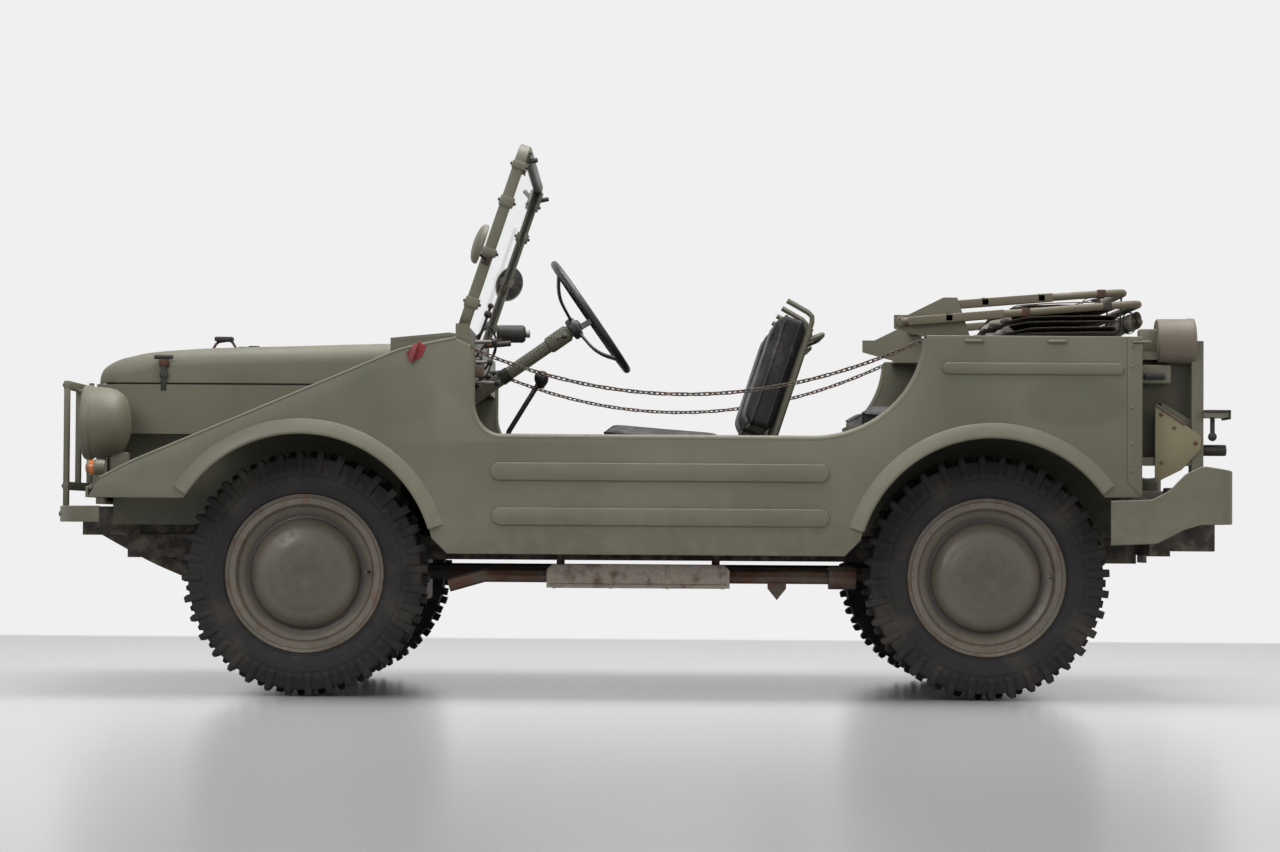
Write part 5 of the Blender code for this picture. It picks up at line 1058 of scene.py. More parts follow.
def tyres():
    mesh = tyre_mesh()
    for name, (x, side) in WHEEL_SPOTS.items():
        place = Matrix.Translation((x, side * WHEEL_Y, AXLE_Z)) @ Matrix.Diagonal((1, side, 1, 1))
        piece = Piece("tread_tyre_" + name).add(mesh, RUBBER, place)
        piece.show(name + "_wheel", "tyre_rubber", "tyre_" + name)


# Windscreen: hinge and lean as in the solid model. Its deeper frame stands a little lower,
# so that its top edge reaches the same height
SCREEN_HINGE = (-0.53, 0, 1.085)
SCREEN_LEAN_ANGLE = 18.5
SCREEN_HALF = 0.64
SCREEN_TALL = 0.5635
SCREEN_CORNER = 0.05
SCREEN_SECTION = (0.0115, 0.0165, 0.004)
FRAME_HALF = SCREEN_SECTION[0]
SEAL_X = 0.005
SEAL_RADIUS = 0.0035
# Clips on the screen's sides: share of its height and half of their length. Their block's
# corners (x, y) and the small parts below are measured from the left side of the frame
SCREEN_CLIP_SHARES = ((0.14, 0.016), (0.42, 0.012), (0.7, 0.016), (0.9, 0.012))
CLIP_LOW = (-0.02, -0.016)
CLIP_HIGH = (0.023, 0.012)
CLIP_EDGE = 0.004
CLIP_ROWS = ((rod, DARK_STEEL, (-0.026, 0, 0), (0.029, 0, 0), 0.005, 10, 0.0015),)
LATCH_ROWS = ((rod, DARK_STEEL, (0.02, 0.03, -0.035), (0.046, 0.03, -0.02), 0.0075, 14, 0.002),)
# Block of the latch: its corners inward and upward from the frame's top corner
LATCH_BLOCK = ((0.014, -0.045, -0.075), (0.024, -0.015, -0.008))
LATCH_EDGE = 0.003
SCREEN_HINGE_ROWS = ((rod, STEEL, (0, -0.012, 0), (0, 0.05, 0), 0.0096, 20),)
# Wipers, from the middle of the screen's foot. The arm is the right one
BLADE_ROWS = ((box, BLACK_RUBBER, (-0.021, -0.363, 0.12), (-0.009, -0.357, 0.4), 0.001),)
WIPER_ARM = ((-0.013, 0.3, 0.012), (-0.0185, 0.33, 0.09), (-0.0175, 0.36, 0.27))
WIPER_RADIUS = 0.003
WIPER_BEND = 0.03
# Mirrors: side, turn in degrees, and how far the mirror is set back to clear the scuttle when folded
MIRROR_SETS = ((-1, 8, 0), (1, -52, 0.018))
MIRROR_PLACE = (-0.018, 0.78, 0.2425)
MIRROR_SHELL = (
    (0, 0), (0.0545, 0), (0.0555, -0.003), (0.0585, -0.003), (0.06, 0.001), (0.0595, 0.006),
    (0.056, 0.012), (0.046, 0.018), (0.03, 0.022), (0.012, 0.024), (0, 0.024),
)
MIRROR_FACE = ((0, -0.0012), (0.055, -0.0012), (0.055, 0.001), (0, 0.001))
MIRROR_ROWS = ((turned, OLIVE_PAINT, MIRROR_SHELL, None, 40), (turned, MIRROR, MIRROR_FACE, None, 40))
# The mirror's arm from the frame: steps outward and upward to its foot and its knee
ARM_FOOT = (0.01, -0.03)
ARM_KNEE = (0.07, -0.02)
ARM_BEND = 0.03
ARM_RADIUS = 0.0048
ARM_CLAMP_ROWS = ((box, DARK_STEEL, (-0.012, -0.016, -0.045), (0.012, 0.016, -0.015), 0.004),)


def screen_loop(inset, x=0):
    """The windscreen's outline with round corners, smaller by an inset."""
    half, low, high = SCREEN_HALF - inset, inset, SCREEN_TALL - inset
    corners = [(x, -half, low), (x, -half, high), (x, half, high), (x, half, low)]
    return rounded(corners, SCREEN_CORNER - inset, 6, True)


def windscreen():
    place = Matrix.Translation(SCREEN_HINGE) @ Matrix.Rotation(math.radians(SCREEN_LEAN_ANGLE), 4, "Y")
    piece = Piece("screen_frame")
    frame_loop = swept(screen_loop(0), slab(*SCREEN_SECTION), True, up=(1, 0, 0))
    piece.add(frame_loop, OLIVE_PAINT, place)
    for x in (-SEAL_X, SEAL_X):
        strip = swept(screen_loop(FRAME_HALF, x), circle(SEAL_RADIUS, 8), True, up=(1, 0, 0))
        piece.add(strip, BLACK_RUBBER, place)
    for _, flip in SIDES:
        edge = place @ flip @ Matrix.Translation((0, -SCREEN_HALF, 0))
        for share, reach in SCREEN_CLIP_SHARES:
            spot = edge @ Matrix.Translation((0, 0, SCREEN_TALL * share))
            piece.add(box((*CLIP_LOW, -reach), (*CLIP_HIGH, reach), CLIP_EDGE), OLIVE_PAINT, spot)
            piece.add_rows(CLIP_ROWS, spot)
        piece.add_rows(LATCH_ROWS, edge @ Matrix.Translation((0, 0, SCREEN_TALL)))
        piece.add_rows(SCREEN_HINGE_ROWS, edge)
        piece.add_rows(BLADE_ROWS, place @ flip)
    x, y, z = MIRROR_PLACE
    for side, angle, back in MIRROR_SETS:
        block = [(u, side * (SCREEN_HALF + v), SCREEN_TALL + w) for u, v, w in LATCH_BLOCK]
        piece.add(box(*block, LATCH_EDGE), OLIVE_PAINT, place)
        wiper = [(u, side * v, w) for u, v, w in WIPER_ARM]
        piece.add(wire(wiper, WIPER_BEND, WIPER_RADIUS), DARK_STEEL, place)
        spot = Matrix.Translation((x + back, side * y, z)) @ Matrix.Rotation(math.radians(angle), 4, "Z")
        piece.add_rows(MIRROR_ROWS, place @ spot @ Matrix.Rotation(math.radians(-90), 4, "Y"))
        bend = back - ARM_BEND
        arm = [(0, SCREEN_HALF + ARM_FOOT[0], z + ARM_FOOT[1])]
        arm += [(bend, SCREEN_HALF + ARM_KNEE[0], z + ARM_KNEE[1]), (bend, y, z)]
        arm = [(u, side * v, w) for u, v, w in arm]
        piece.add(wire(arm, ARM_BEND, ARM_RADIUS, 5, 12), DARK_STEEL, place)
        piece.add_rows(ARM_CLAMP_ROWS, place @ Matrix.Translation((0, side * SCREEN_HALF, z)))
    piece.show("screen", "olive_paint", "windscreen_frame")


CHAIN_Y = 0.824
CHAIN_ENDS = ((-0.494, 1.015), (0.8135, 1.05))
CHAIN_SAG = 0.145
CHAIN_STEPS = 600
LINK_LENGTH = 0.021
LINK_HALF_WIDTH = 0.0048
LINK_WIRE = 0.0021
LINK_COUNT = 84
LINK_SWAY_RATE = 1.7
# Hook at a chain's end: distance back from it and height above it
HOOK = ((0, 0), (0.004, 0.012), (0.006, -0.004))
HOOK_BEND = 0.008
HOOK_WIRE = 0.0022


def link_places():
    """Where the links of the left chain sit. Each stands a quarter turn from the last."""
    (x0, z0), (x1, z1) = CHAIN_ENDS
    line = []
    for i in range(CHAIN_STEPS + 1):
        share = i / CHAIN_STEPS
        sag = CHAIN_SAG * 4 * share * (1 - share)
        line.append(Vector((x0 + (x1 - x0) * share, -CHAIN_Y, z0 + (z1 - z0) * share - sag)))
    steps = [0]
    for one, two in zip(line, line[1:]):
        steps.append(steps[-1] + (two - one).length)
    places = []
    for number in range(LINK_COUNT):
        aim = steps[-1] * (number + 1 / 2) / LINK_COUNT
        index = min(range(CHAIN_STEPS), key=lambda i: abs(steps[i] - aim))
        along = (line[index + 1] - line[index - 1]).normalized()
        turn = along.to_track_quat("X", "Z").to_matrix().to_4x4()
        roll = math.radians(45 + 90 * (number % 2) + 9 * math.sin(number * LINK_SWAY_RATE))
        places.append(Matrix.Translation(line[index]) @ turn @ Matrix.Rotation(roll, 4, "X"))
    return places


def chains():
    """Chains of real links that hang across the entrances, with a hook at each end."""
    reach = LINK_LENGTH / 2 - LINK_HALF_WIDTH
    outline = arc((reach, 0), LINK_HALF_WIDTH, LINK_HALF_WIDTH, -90, 90, 6)
    outline += arc((-reach, 0), LINK_HALF_WIDTH, LINK_HALF_WIDTH, 90, 270, 6)
    link = swept([(u, v, 0) for u, v in outline], circle(LINK_WIRE, 8), True)
    places = link_places()
    for side, flip in SIDES:
        piece = Piece("chain_" + side)
        for place in places:
            piece.add(link, CHAIN_STEEL, flip @ place)
        for (x, z), way in zip(CHAIN_ENDS, (1, -1)):
            hook = [(x - way * back, -CHAIN_Y, z + rise) for back, rise in HOOK]
            piece.add(wire(hook, HOOK_BEND, HOOK_WIRE, 4, 8), CHAIN_STEEL, flip)
        piece.show("car", "dull_steel", "door_chain_" + side)


LENS_PLACE = (-1.645, -0.6163, 0.8)
POD = (
    (0, -0.062), (0.05, -0.052), (0.084, -0.034), (0.0965, -0.0245), (0.0965, -0.004), (0.0985, -0.001),
    (0.103, 0), (0.108, -0.003), (0.11, -0.0095), (0.11, -0.0235), (0.1078, -0.0265), (0.1052, -0.029),
    (0.1046, -0.034), (0.1042, -0.052), (0.1022, -0.074), (0.0965, -0.095), (0.0865, -0.111),
    (0.072, -0.1225), (0.05, -0.1305), (0.025, -0.1345), (0, -0.135),
)
BOWL = (
    (0, -0.0595), (0.05, -0.0495), (0.084, -0.0315), (0.096, -0.0225), (0.096, -0.024), (0.05, -0.051),
    (0, -0.061),
)
LENS_SHAPE = (
    (0, -0.0035), (0.04, -0.005), (0.07, -0.009), (0.088, -0.0145), (0.0962, -0.0195),
    (0.0962, -0.022), (0, -0.0225),
)
LAMP_ROWS = (
    (turned, OLIVE_PAINT, POD, None, 72),
    (turned, BRIGHT, BOWL, None, 72),
    (turned, LENS, LENS_SHAPE, None, 72),
)
LAMP_FOOT = ((-1.563, 0.6347), (-1.513, 0.6614), (-1.513, 0.712), (-1.563, 0.712))
LAMP_FOOT_ROWS = (
    (prism, OLIVE_PAINT, LAMP_FOOT, "Y", -0.6363, -0.5963, 0.003),
    (rod, DARK_STEEL, (-1.632, -0.6163, 0.911), (-1.618, -0.6163, 0.911), 0.005, 10, 0.001),
)
SIDE_LAMP_PLACE = (-1.613, -0.75, 0.665)
SIDE_LAMP_LENS = (
    (0, 0.006), (0.01, 0.0052), (0.017, 0.002), (0.0212, -0.003), (0.0222, -0.008), (0.0222, -0.023),
    (0, -0.023),
)
SIDE_LAMP_CUP = (
    (0, -0.02), (0.0238, -0.02), (0.0245, -0.022), (0.0245, -0.028), (0.0235, -0.03), (0.0232, -0.046),
    (0.02, -0.052), (0, -0.054),
)
SIDE_LAMP_ROWS = (
    (turned, AMBER, SIDE_LAMP_LENS, None, 36),
    (turned, OLIVE_PAINT, SIDE_LAMP_CUP, None, 36),
)


def front_lamps():
    forward = Matrix.Rotation(math.radians(-90), 4, "Y")
    for side, flip in SIDES:
        piece = Piece("lamp_pod_" + side)
        piece.add_rows(LAMP_ROWS, flip @ Matrix.Translation(LENS_PLACE) @ forward)
        piece.add_rows(LAMP_FOOT_ROWS, flip)
        piece.show("car", "olive_paint", "headlamp_" + side)
        small = Piece("side_lamp_" + side)
        small.add_rows(SIDE_LAMP_ROWS, flip @ Matrix.Translation(SIDE_LAMP_PLACE) @ forward)
        small.show("car", "black_plastic")


BUMPER_X = -1.704
BUMPER_BEND = (-1.569, 0.62)
BUMPER_HALF = 0.8
BUMPER_Z = 0.5305
BUMPER_SECTION = (0.006, 0.0235, 0.0028)
BUMPER_ROWS = ((rod, OLIVE_PAINT, (-1.7063, -0.68, 0.5305), (-1.698, -0.68, 0.5305), 0.008, 6, 0.001),)
GUARD_BAR_ROWS = (
    (box, OLIVE_PAINT, (-1.704, -0.64, 0.6), (-1.686, 0.64, 0.625), 0.003),
    (box, OLIVE_PAINT, (-1.704, -0.64, 0.897), (-1.686, 0.64, 0.922), 0.003),
)
# Posts of the guard: the heights of their feet, their y, and the corners of a post at y = 0.
# The low corner gets its height from the foot
POST_FEET = (0.5543, 0.603, 0.603, 0.603, 0.603, 0.603, 0.5543)
POST_SPOTS = np.linspace(-0.6275, 0.6275, len(POST_FEET))
POST_LOW = (-1.703, -0.012)
POST_HIGH = (-1.687, 0.012, 0.919)
POST_EDGE = 0.0025
GUARD_ROWS = (
    (rod, OLIVE_PAINT, (-1.688, -0.475, 0.897), (-1.6283, -0.475, 0.897), 0.0062, 14),
    (rod, DARK_STEEL, (-1.708, -0.2133, 0.6125), (-1.701, -0.2133, 0.6125), 0.006, 6, 0.001),
    (rod, DARK_STEEL, (-1.708, -0.6275, 0.6125), (-1.701, -0.6275, 0.6125), 0.006, 6, 0.001),
    (rod, DARK_STEEL, (-1.708, -0.2133, 0.9095), (-1.701, -0.2133, 0.9095), 0.006, 6, 0.001),
    (rod, DARK_STEEL, (-1.708, -0.6275, 0.9095), (-1.701, -0.6275, 0.9095), 0.006, 6, 0.001),
)


def front_bars():
    depth = BUMPER_BEND[0] - BUMPER_X
    right = arc(BUMPER_BEND, depth, BUMPER_HALF - BUMPER_BEND[1], 90, 180, 24)
    left = [(x, -y) for x, y in reversed(right)]
    path = [(x, y, BUMPER_Z) for x, y in right + left]
    piece = Piece("bumper_front").add(swept(path, slab(*BUMPER_SECTION)), OLIVE_PAINT)
    guard = Piece("guard_bars").add_rows(GUARD_BAR_ROWS)
    for y, foot in zip(POST_SPOTS, POST_FEET):
        post = box((*POST_LOW, foot), POST_HIGH, POST_EDGE)
        guard.add(post, OLIVE_PAINT, Matrix.Translation((0, y, 0)))
    for _, flip in SIDES:
        piece.add_rows(BUMPER_ROWS, flip)
        guard.add_rows(GUARD_ROWS, flip)
    piece.show("car", "olive_paint", "front_bumper")
    guard.show("car", "olive_paint", "brush_guard")


# Corner bumper: its ends in x, and shares of its length and height along both its edges
CORNER = (1.352, 1.71)
CORNER_LOW = 0.458
CORNER_TALL = 0.231
CORNER_TOP_SHARES = ((0, 0.56), (0.33, 0.575), (0.47, 0.69), (0.6, 0.9), (0.74, 1), (1, 0.94))
CORNER_FOOT_SHARES = ((0, 0), (0.37, 0.025), (0.59, 0.2), (0.72, 0.262), (1, 0.27))
CORNER_Y = -0.853
CORNER_BEND = 0.06
CORNER_INNER_Y = -0.55
CORNER_WALL = 0.01
CORNER_EDGE = 0.0025
# Bracket behind the corner bumper, in the dark underbody paint as painted shade, so that it reads as lying
# in shadow
CORNER_SHADED_BRACKET_ROWS = ((box, UNDERBODY_AND_SHADE_PAINT, (1.5603, -0.52, 0.44), (1.707, -0.463, 0.629), 0.003),)


def level(shares, x):
    """Height of a bumper's edge at a station."""
    spot = (x - CORNER[0]) / (CORNER[1] - CORNER[0])
    value = np.interp(spot, [row[0] for row in shares], [row[1] for row in shares])
    return CORNER_LOW + CORNER_TALL * float(value)


def corner_bumpers():
    bend = (CORNER[1] - CORNER_BEND, CORNER_Y + CORNER_BEND)
    path = [(CORNER[0] + (bend[0] - CORNER[0]) * i / 24, CORNER_Y) for i in range(24)]
    path += arc(bend, CORNER_BEND, CORNER_BEND, 270, 360, 12)
    path += [(CORNER[1], bend[1] + (CORNER_INNER_Y - bend[1]) * i / 4) for i in range(1, 5)]
    bm = bmesh.new()
    rows = []
    edge, wall = CORNER_EDGE, CORNER_WALL
    for i, (x, y) in enumerate(path):
        before, after = path[max(0, i - 1)], path[min(len(path) - 1, i + 1)]
        along = Vector((after[0] - before[0], after[1] - before[1])).normalized()
        low, high = level(CORNER_FOOT_SHARES, x), level(CORNER_TOP_SHARES, x)
        ring = [(0, low + edge), (0, high - edge), (edge, high), (wall - edge, high)]
        ring += [(wall, high - edge), (wall, low + edge), (wall - edge, low), (edge, low)]
        rows.append([bm.verts.new((x - along.y * u, y + along.x * u, z)) for u, z in ring])
    for one, two in zip(rows, rows[1:]):
        bridge(bm, one, two, True)
    bm.faces.new(rows[0])
    bm.faces.new(rows[-1])
    mesh = from_bm(bm)
    for side, flip in SIDES:
        piece = Piece("bumper_rear_" + side).add(mesh, OLIVE_PAINT, flip)
        piece.add_rows(CORNER_SHADED_BRACKET_ROWS, flip)
        piece.show("car", "olive_paint", "rear_bumper_" + side)


TAIL_LAMP_PLACE = (1.608, -0.72, 1.055)
DRUM = (
    (0, 0.002), (0.03, 0.001), (0.05, -0.0015), (0.0556, -0.004), (0.0556, 0.0015), (0.0585, 0.003),
    (0.0665, 0.0005), (0.0672, -0.004), (0.0672, -0.016), (0.0656, -0.019), (0.0652, -0.07),
    (0.0648, -0.105), (0.062, -0.1085), (0.03, -0.1095), (0, -0.1095),
)
TAIL_LENS = ((0, 0.006), (0.025, 0.005), (0.045, 0.0015), (0.0552, -0.003), (0.0552, -0.006), (0, -0.006))
TAIL_LAMP_ROWS = ((turned, DRUM_PAINT, DRUM, None, 56), (turned, RED, TAIL_LENS, None, 48))
# Plates on the tail's lamp posts, in the side view
TAIL_PLATE = ((1.493, 0.868), (1.579, 0.811), (1.628, 0.776), (1.626, 0.738), (1.57, 0.679), (1.492, 0.64))
TAIL_SIDE = ((1.4475, 0.704), (1.602, 0.704), (1.602, 1.01), (1.4475, 1.01))
TAIL_BOLTS = ((1.51, 0.84), (1.548, 0.802), (1.61, 0.757), (1.512, 0.7))
TAIL_EDGE = ((1.494, -0.754, 0.868), (1.579, -0.754, 0.811))
TAIL_ROWS = (
    (prism, TAN_PAINT, TAIL_PLATE, "Y", -0.7545, -0.7502, 0.0012),
    (prism, DARK_OLIVE, TAIL_SIDE, "Y", -0.708, -0.704, 0.001),
    (tube, RUSTY, TAIL_EDGE, 0.0045, False, 8),
    (rivets, RUSTY, TAIL_BOLTS, -0.7545, 0.0065),
    (box, OLIVE_PAINT, (1.447, -0.75, 0.93), (1.54, -0.7, 0.985), 0.006),
    (box, OLIVE_PAINT, (1.447, -0.74, 1.02), (1.505, -0.7, 1.09), 0.008),
    (box, DARK_STEEL, (1.6335, -0.782, 0.8448), (1.709, -0.658, 0.8535), 0.002),
    (box, DARK_STEEL, (1.701, -0.782, 0.826), (1.709, -0.658, 0.8535), 0.002),
    (rod, BLACK_PAINT, (1.66, -0.75, 0.78), (1.66, -0.75, 0.833), 0.007, 12, 0.001),
    (ball, BLACK_PAINT, (1.66, -0.75, 0.776), 0.013),
    (rod, DARK_STEEL, (1.636, -0.72, 0.737), (1.704, -0.72, 0.737), 0.0165, 20, 0.002),
    (rod, BLACK_RUBBER, (1.46, -0.756, 0.95), (1.52, -0.756, 0.95), 0.009, 14, 0.002),
    (box, OLIVE_PAINT, (1.4398, -0.765, 0.9), (1.4475, -0.675, 1.045), 0.002),
)


def tail_parts():
    spot = Matrix.Translation(TAIL_LAMP_PLACE) @ Matrix.Rotation(math.radians(90), 4, "Y")
    for side, flip in SIDES:
        piece = Piece("tail_fittings_" + side).add_rows(TAIL_LAMP_ROWS, flip @ spot)
        piece.add_rows(TAIL_ROWS, flip)
        piece.show("car", "olive_paint")


# Steering wheel and column, along the column's axis from the middle of the ring
RING_TURN = Matrix.Translation((-0.158, -0.36, 1.136)) @ Matrix.Rotation(math.radians(55), 4, "Y")
RING_RADIUS = 0.193
RING_THICK = 0.0112
HUB = (
    (0, -0.036), (0.012, -0.0362), (0.017, -0.0395), (0.0185, -0.044), (0.024, -0.045), (0.031, -0.0475),
    (0.034, -0.053), (0.034, -0.068), (0.031, -0.074), (0.021, -0.0752), (0, -0.0752),
)
SPOKE = ((0.02, 0, -0.056), (0.12, 0, -0.047), (0.19, 0, 0))
SPOKE_ROWS = ((band, BLACK_PLASTIC, SPOKE, 0.05, (0.0095, 0.0042, 0.003), 8),)
SLEEVE = ((0, -0.082), (0.0235, -0.082), (0.026, -0.085), (0.026, -0.15), (0.022, -0.156), (0, -0.156))
COLLAR = ((0, -0.3), (0.0225, -0.3), (0.0225, -0.33), (0, -0.33))
COLUMN_ROWS = (
    (turned, OLIVE_PAINT, SLEEVE, None, 32),
    (wire, STEEL, ((0, -0.02, -0.12), (0, -0.07, -0.115), (0.01, -0.13, -0.1)), 0.03, 0.0032),
    (ball, BLACK_PLASTIC, (0.01, -0.13, -0.1), 0.009),
    (turned, DARK_STEEL, COLLAR, None, 28),
)


def steering_wheel():
    ring = [(x, y, 0) for x, y in arc((0, 0), RING_RADIUS, RING_RADIUS, 0, 360, 72)[:-1]]
    piece = Piece("steering_ring").add(swept(ring, circle(RING_THICK, 14), True), BLACK_PLASTIC, RING_TURN)
    piece.add(turned(HUB, steps=40), BLACK_PLASTIC, RING_TURN)
    for index in range(3):
        turn = Matrix.Rotation(math.radians(90 + 120 * index), 4, "Z")
        piece.add_rows(SPOKE_ROWS, RING_TURN @ turn)
    piece.show("steering", "black_vinyl", "steering_wheel")
    Piece("column_sleeve").add_rows(COLUMN_ROWS, RING_TURN).show("car", "olive_paint")


# Dials: y, z and radius. Their rims are steps (outward, upward) from the radius
DIALS = ((-0.46, 0.985, 0.03), (-0.36, 0.99, 0.046), (-0.26, 0.985, 0.03), (-0.19, 0.985, 0.022))
DIAL_X = -0.4955
DIAL_RIM = ((0, -0.001), (0, 0.006), (-0.002, 0.009), (-0.005, 0.0085), (-0.006, 0.003))
DIAL_PLATE = ((-0.006, 0.0025), (-0.006, 0.0038))
# Marks and needle of a dial: shares of its radius, half width and height
MARK_SHARES = (0.58, 0.74, 0.0008, 0.0036)
NEEDLE_SHARES = (-0.12, 0.6, 0.0007, 0.0042)
HAND_THICK = 0.0006
NEEDLE_TURN = 2.2
SWITCH_SPOTS = np.linspace(-0.1, 0.125, 6)
SWITCH_ROWS = (
    (rod, STEEL, (-0.497, 0, 0.965), (-0.482, 0, 0.965), 0.003, 10),
    (rod, BLACK_PLASTIC, (-0.484, 0, 0.965), (-0.469, 0, 0.965), 0.0095, 18, 0.003),
)
GRAB = ((-0.497, 0.3, 0.99), (-0.452, 0.3, 0.995), (-0.452, 0.6, 0.995), (-0.497, 0.6, 0.99))
LAMP_STAY = ((-0.49, -0.56, 1.048), (-0.47, -0.56, 1.1), (-0.452, -0.56, 1.155))
TAG = ((-0.684, 1.0), (-0.66, 0.978), (-0.638, 0.99), (-0.626, 1.02), (-0.646, 1.034), (-0.665, 1.018))
TAG_STRAP = ((-0.655, -0.839, 1.028), (-0.662, -0.847, 1.005), (-0.672, -0.841, 0.976))
DASH_ROWS = (
    (wire, BLACK_PAINT, GRAB, 0.03, 0.0085, 6, 14),
    (rod, BLACK_PAINT, (-0.438, -0.44, 1.079), (-0.352, -0.44, 1.079), 0.0265, 32, 0.007),
    (rod, STEEL, (-0.352, -0.44, 1.079), (-0.338, -0.44, 1.079), 0.011, 20, 0.002),
    (box, DARK_STEEL, (-0.456, -0.465, 1.044), (-0.42, -0.415, 1.065), 0.003),
    (box, DARK_STEEL, (-0.5, -0.47, 1.05), (-0.435, -0.41, 1.0565), 0.002),
    (ball, DARK_STEEL, (-0.46, -0.56, 1.13), 0.012),
    (ball, DARK_STEEL, (-0.452, -0.56, 1.155), 0.009),
    (wire, DARK_STEEL, LAMP_STAY, 0.03, 0.0045),
    (prism, RED_CLOTH, TAG, "Y", -0.8395, -0.834, 0.0012),
    (band, RED_CLOTH, TAG_STRAP, 0.012, (0.011, 0.0012, 0.0008)),
)


def puck(rim, radius):
    """A disc whose rim is given by steps from its radius."""
    points = [(radius + u, v) for u, v in rim]
    return turned([(0, rim[0][1]), *points, (0, rim[-1][1])], steps=36)


def hand(radius, first, last, half, low):
    """A thin bar along a dial's radius, between two shares of it."""
    return box((radius * first, -half, low), (radius * last, half, low + HAND_THICK))


def dash_parts():
    piece = Piece("dash_fittings")
    turn = Matrix.Rotation(math.radians(90), 4, "Y")
    for y, z, radius in DIALS:
        spot = Matrix.Translation((DIAL_X, y, z)) @ turn
        piece.add(puck(DIAL_RIM, radius), BLACK_PLASTIC, spot)
        piece.add(puck(DIAL_PLATE, radius), DIAL_FACE, spot)
        for index in range(9):
            way = Matrix.Rotation(math.radians(-30 + 30 * index), 4, "Z")
            piece.add(hand(radius, *MARK_SHARES), DIAL_MARK, spot @ way)
        way = Matrix.Rotation(NEEDLE_TURN, 4, "Z")
        piece.add(hand(radius, *NEEDLE_SHARES), DIAL_MARK, spot @ way)
    for y in SWITCH_SPOTS:
        piece.add_rows(SWITCH_ROWS, Matrix.Translation((0, y, 0)))
    piece.add_rows(DASH_ROWS)
    piece.show("car", "black_plastic")


# Hood bows: node, body, pivot's x and z, rear bar's x and z, half width
BARS = (
    ("bow_main", "main_bow", 0.755, 1.108, 1.455, 1.165, 0.7176),
    ("bow_rear", "rear_bow", 0.9, 1.16, 1.415, 1.2, 0.6884),
)
BAR_BEND = 0.06
BAR_RADIUS = 0.011
BAR_FLAT = (0.02, 0.3)
BAR_FLAT_SECTION = (0.0125, 0.0125, 0.003)
BAR_CLAMP_SHARES = (0.2, 0.52, 0.86)
BAR_CLAMP_ROWS = ((box, DARK_STEEL, (-0.013, -0.0125, -0.0125), (0.013, 0.0125, 0.0125), 0.004),)
BAR_PIVOT_ROWS = ((rod, BAR_PAINT, (0, -0.006, 0), (0, 0.006, 0), 0.015, 28, 0.003),)


def hood_bars():
    start, end = BAR_FLAT
    for name, body, x, z, rear_x, rear_z, half in BARS:
        path = [(x, -half, z), (rear_x, -half, rear_z), (rear_x, half, rear_z), (x, half, z)]
        piece = Piece(name + "_tube").add(wire(path, BAR_BEND, BAR_RADIUS, 10, 20), BAR_PAINT)
        rise = (rear_z - z) / (rear_x - x)
        for y in (-half, half):
            piece.add_rows(BAR_PIVOT_ROWS, Matrix.Translation((x, y, z)))
            flat = [(x + start, y, z), (x + end, y, z + end * rise)]
            piece.add(swept(flat, slab(*BAR_FLAT_SECTION)), BAR_PAINT)
            for share in BAR_CLAMP_SHARES:
                reach = (rear_x - x) * share
                piece.add_rows(BAR_CLAMP_ROWS, Matrix.Translation((x + reach, y, z + reach * rise)))
        piece.show(body, "olive_paint", name)


# Rolled canvas: middle and halves of its outline in the side view
ROLL_MIDDLE = (1.464, 1.1251)
ROLL_HALVES = (0.0185, 0.0285)
ROLL_HALF_WIDTH = 0.575
ROLL_TURNS = 5
ROLL_ROWS = 48
ROLL_CORE_SHARE = 0.16
RIPPLE_SHARES = (0.018, 0.012)
RIPPLE_RATES = (0.7, 2.1)
ROLL_DRIFT = 0.004
CLOTH_THICK = 0.0014
ROLL_STRAP_SPOTS = (-0.42, -0.14, 0.14, 0.42)
ROLL_STRAP_HALVES = (0.022, 0.032)
ROLL_STRAP_SECTION = (0.0011, 0.0125, 0.0008)
ROLL_BUCKLE_ROWS = ((box, DARK_STEEL, (1.485, -0.016, 1.115), (1.4895, 0.016, 1.135), 0.0015),)


def canvas(name, body, half, rows, ring_at, rest, *nodes):
    """A sheet of canvas across the car, from the folded line that it follows at each y."""
    bm = bmesh.new()
    grid = []
    for row in range(rows + 1):
        ring = ring_at(-half + 2 * half * row / rows)
        grid.append([bm.verts.new(point) for point in ring])
    for one, two in zip(grid, grid[1:]):
        bridge(bm, one, two)
    obj = Piece(name).add(from_bm(bm), CANVAS).show(body, "old_canvas", *nodes)
    wall = obj.modifiers.new("Thickness", "SOLIDIFY")
    wall.thickness = CLOTH_THICK


def roll_ring(y):
    """The rolled line at one y, rippled a little."""
    ring = []
    row = ROLL_ROWS * (y + ROLL_HALF_WIDTH) / (2 * ROLL_HALF_WIDTH)
    steps = ROLL_TURNS * 40
    (wide, fine), (slow, fast) = RIPPLE_SHARES, RIPPLE_RATES
    for i in range(steps + 1):
        share = i / steps
        size = ROLL_CORE_SHARE + (1 - ROLL_CORE_SHARE) * share
        angle = 2 * math.pi * ROLL_TURNS * share
        ripple = 1 + wide * math.sin(angle * 2 + row * slow) * size + fine * math.sin(row * fast + angle)
        slack = min(1, size * ripple)
        x = ROLL_MIDDLE[0] + ROLL_HALVES[0] * slack * math.cos(angle)
        z = ROLL_MIDDLE[1] + ROLL_HALVES[1] * slack * math.sin(angle)
        ring.append((x, y + ROLL_DRIFT * math.sin(angle * 3), z))
    return ring


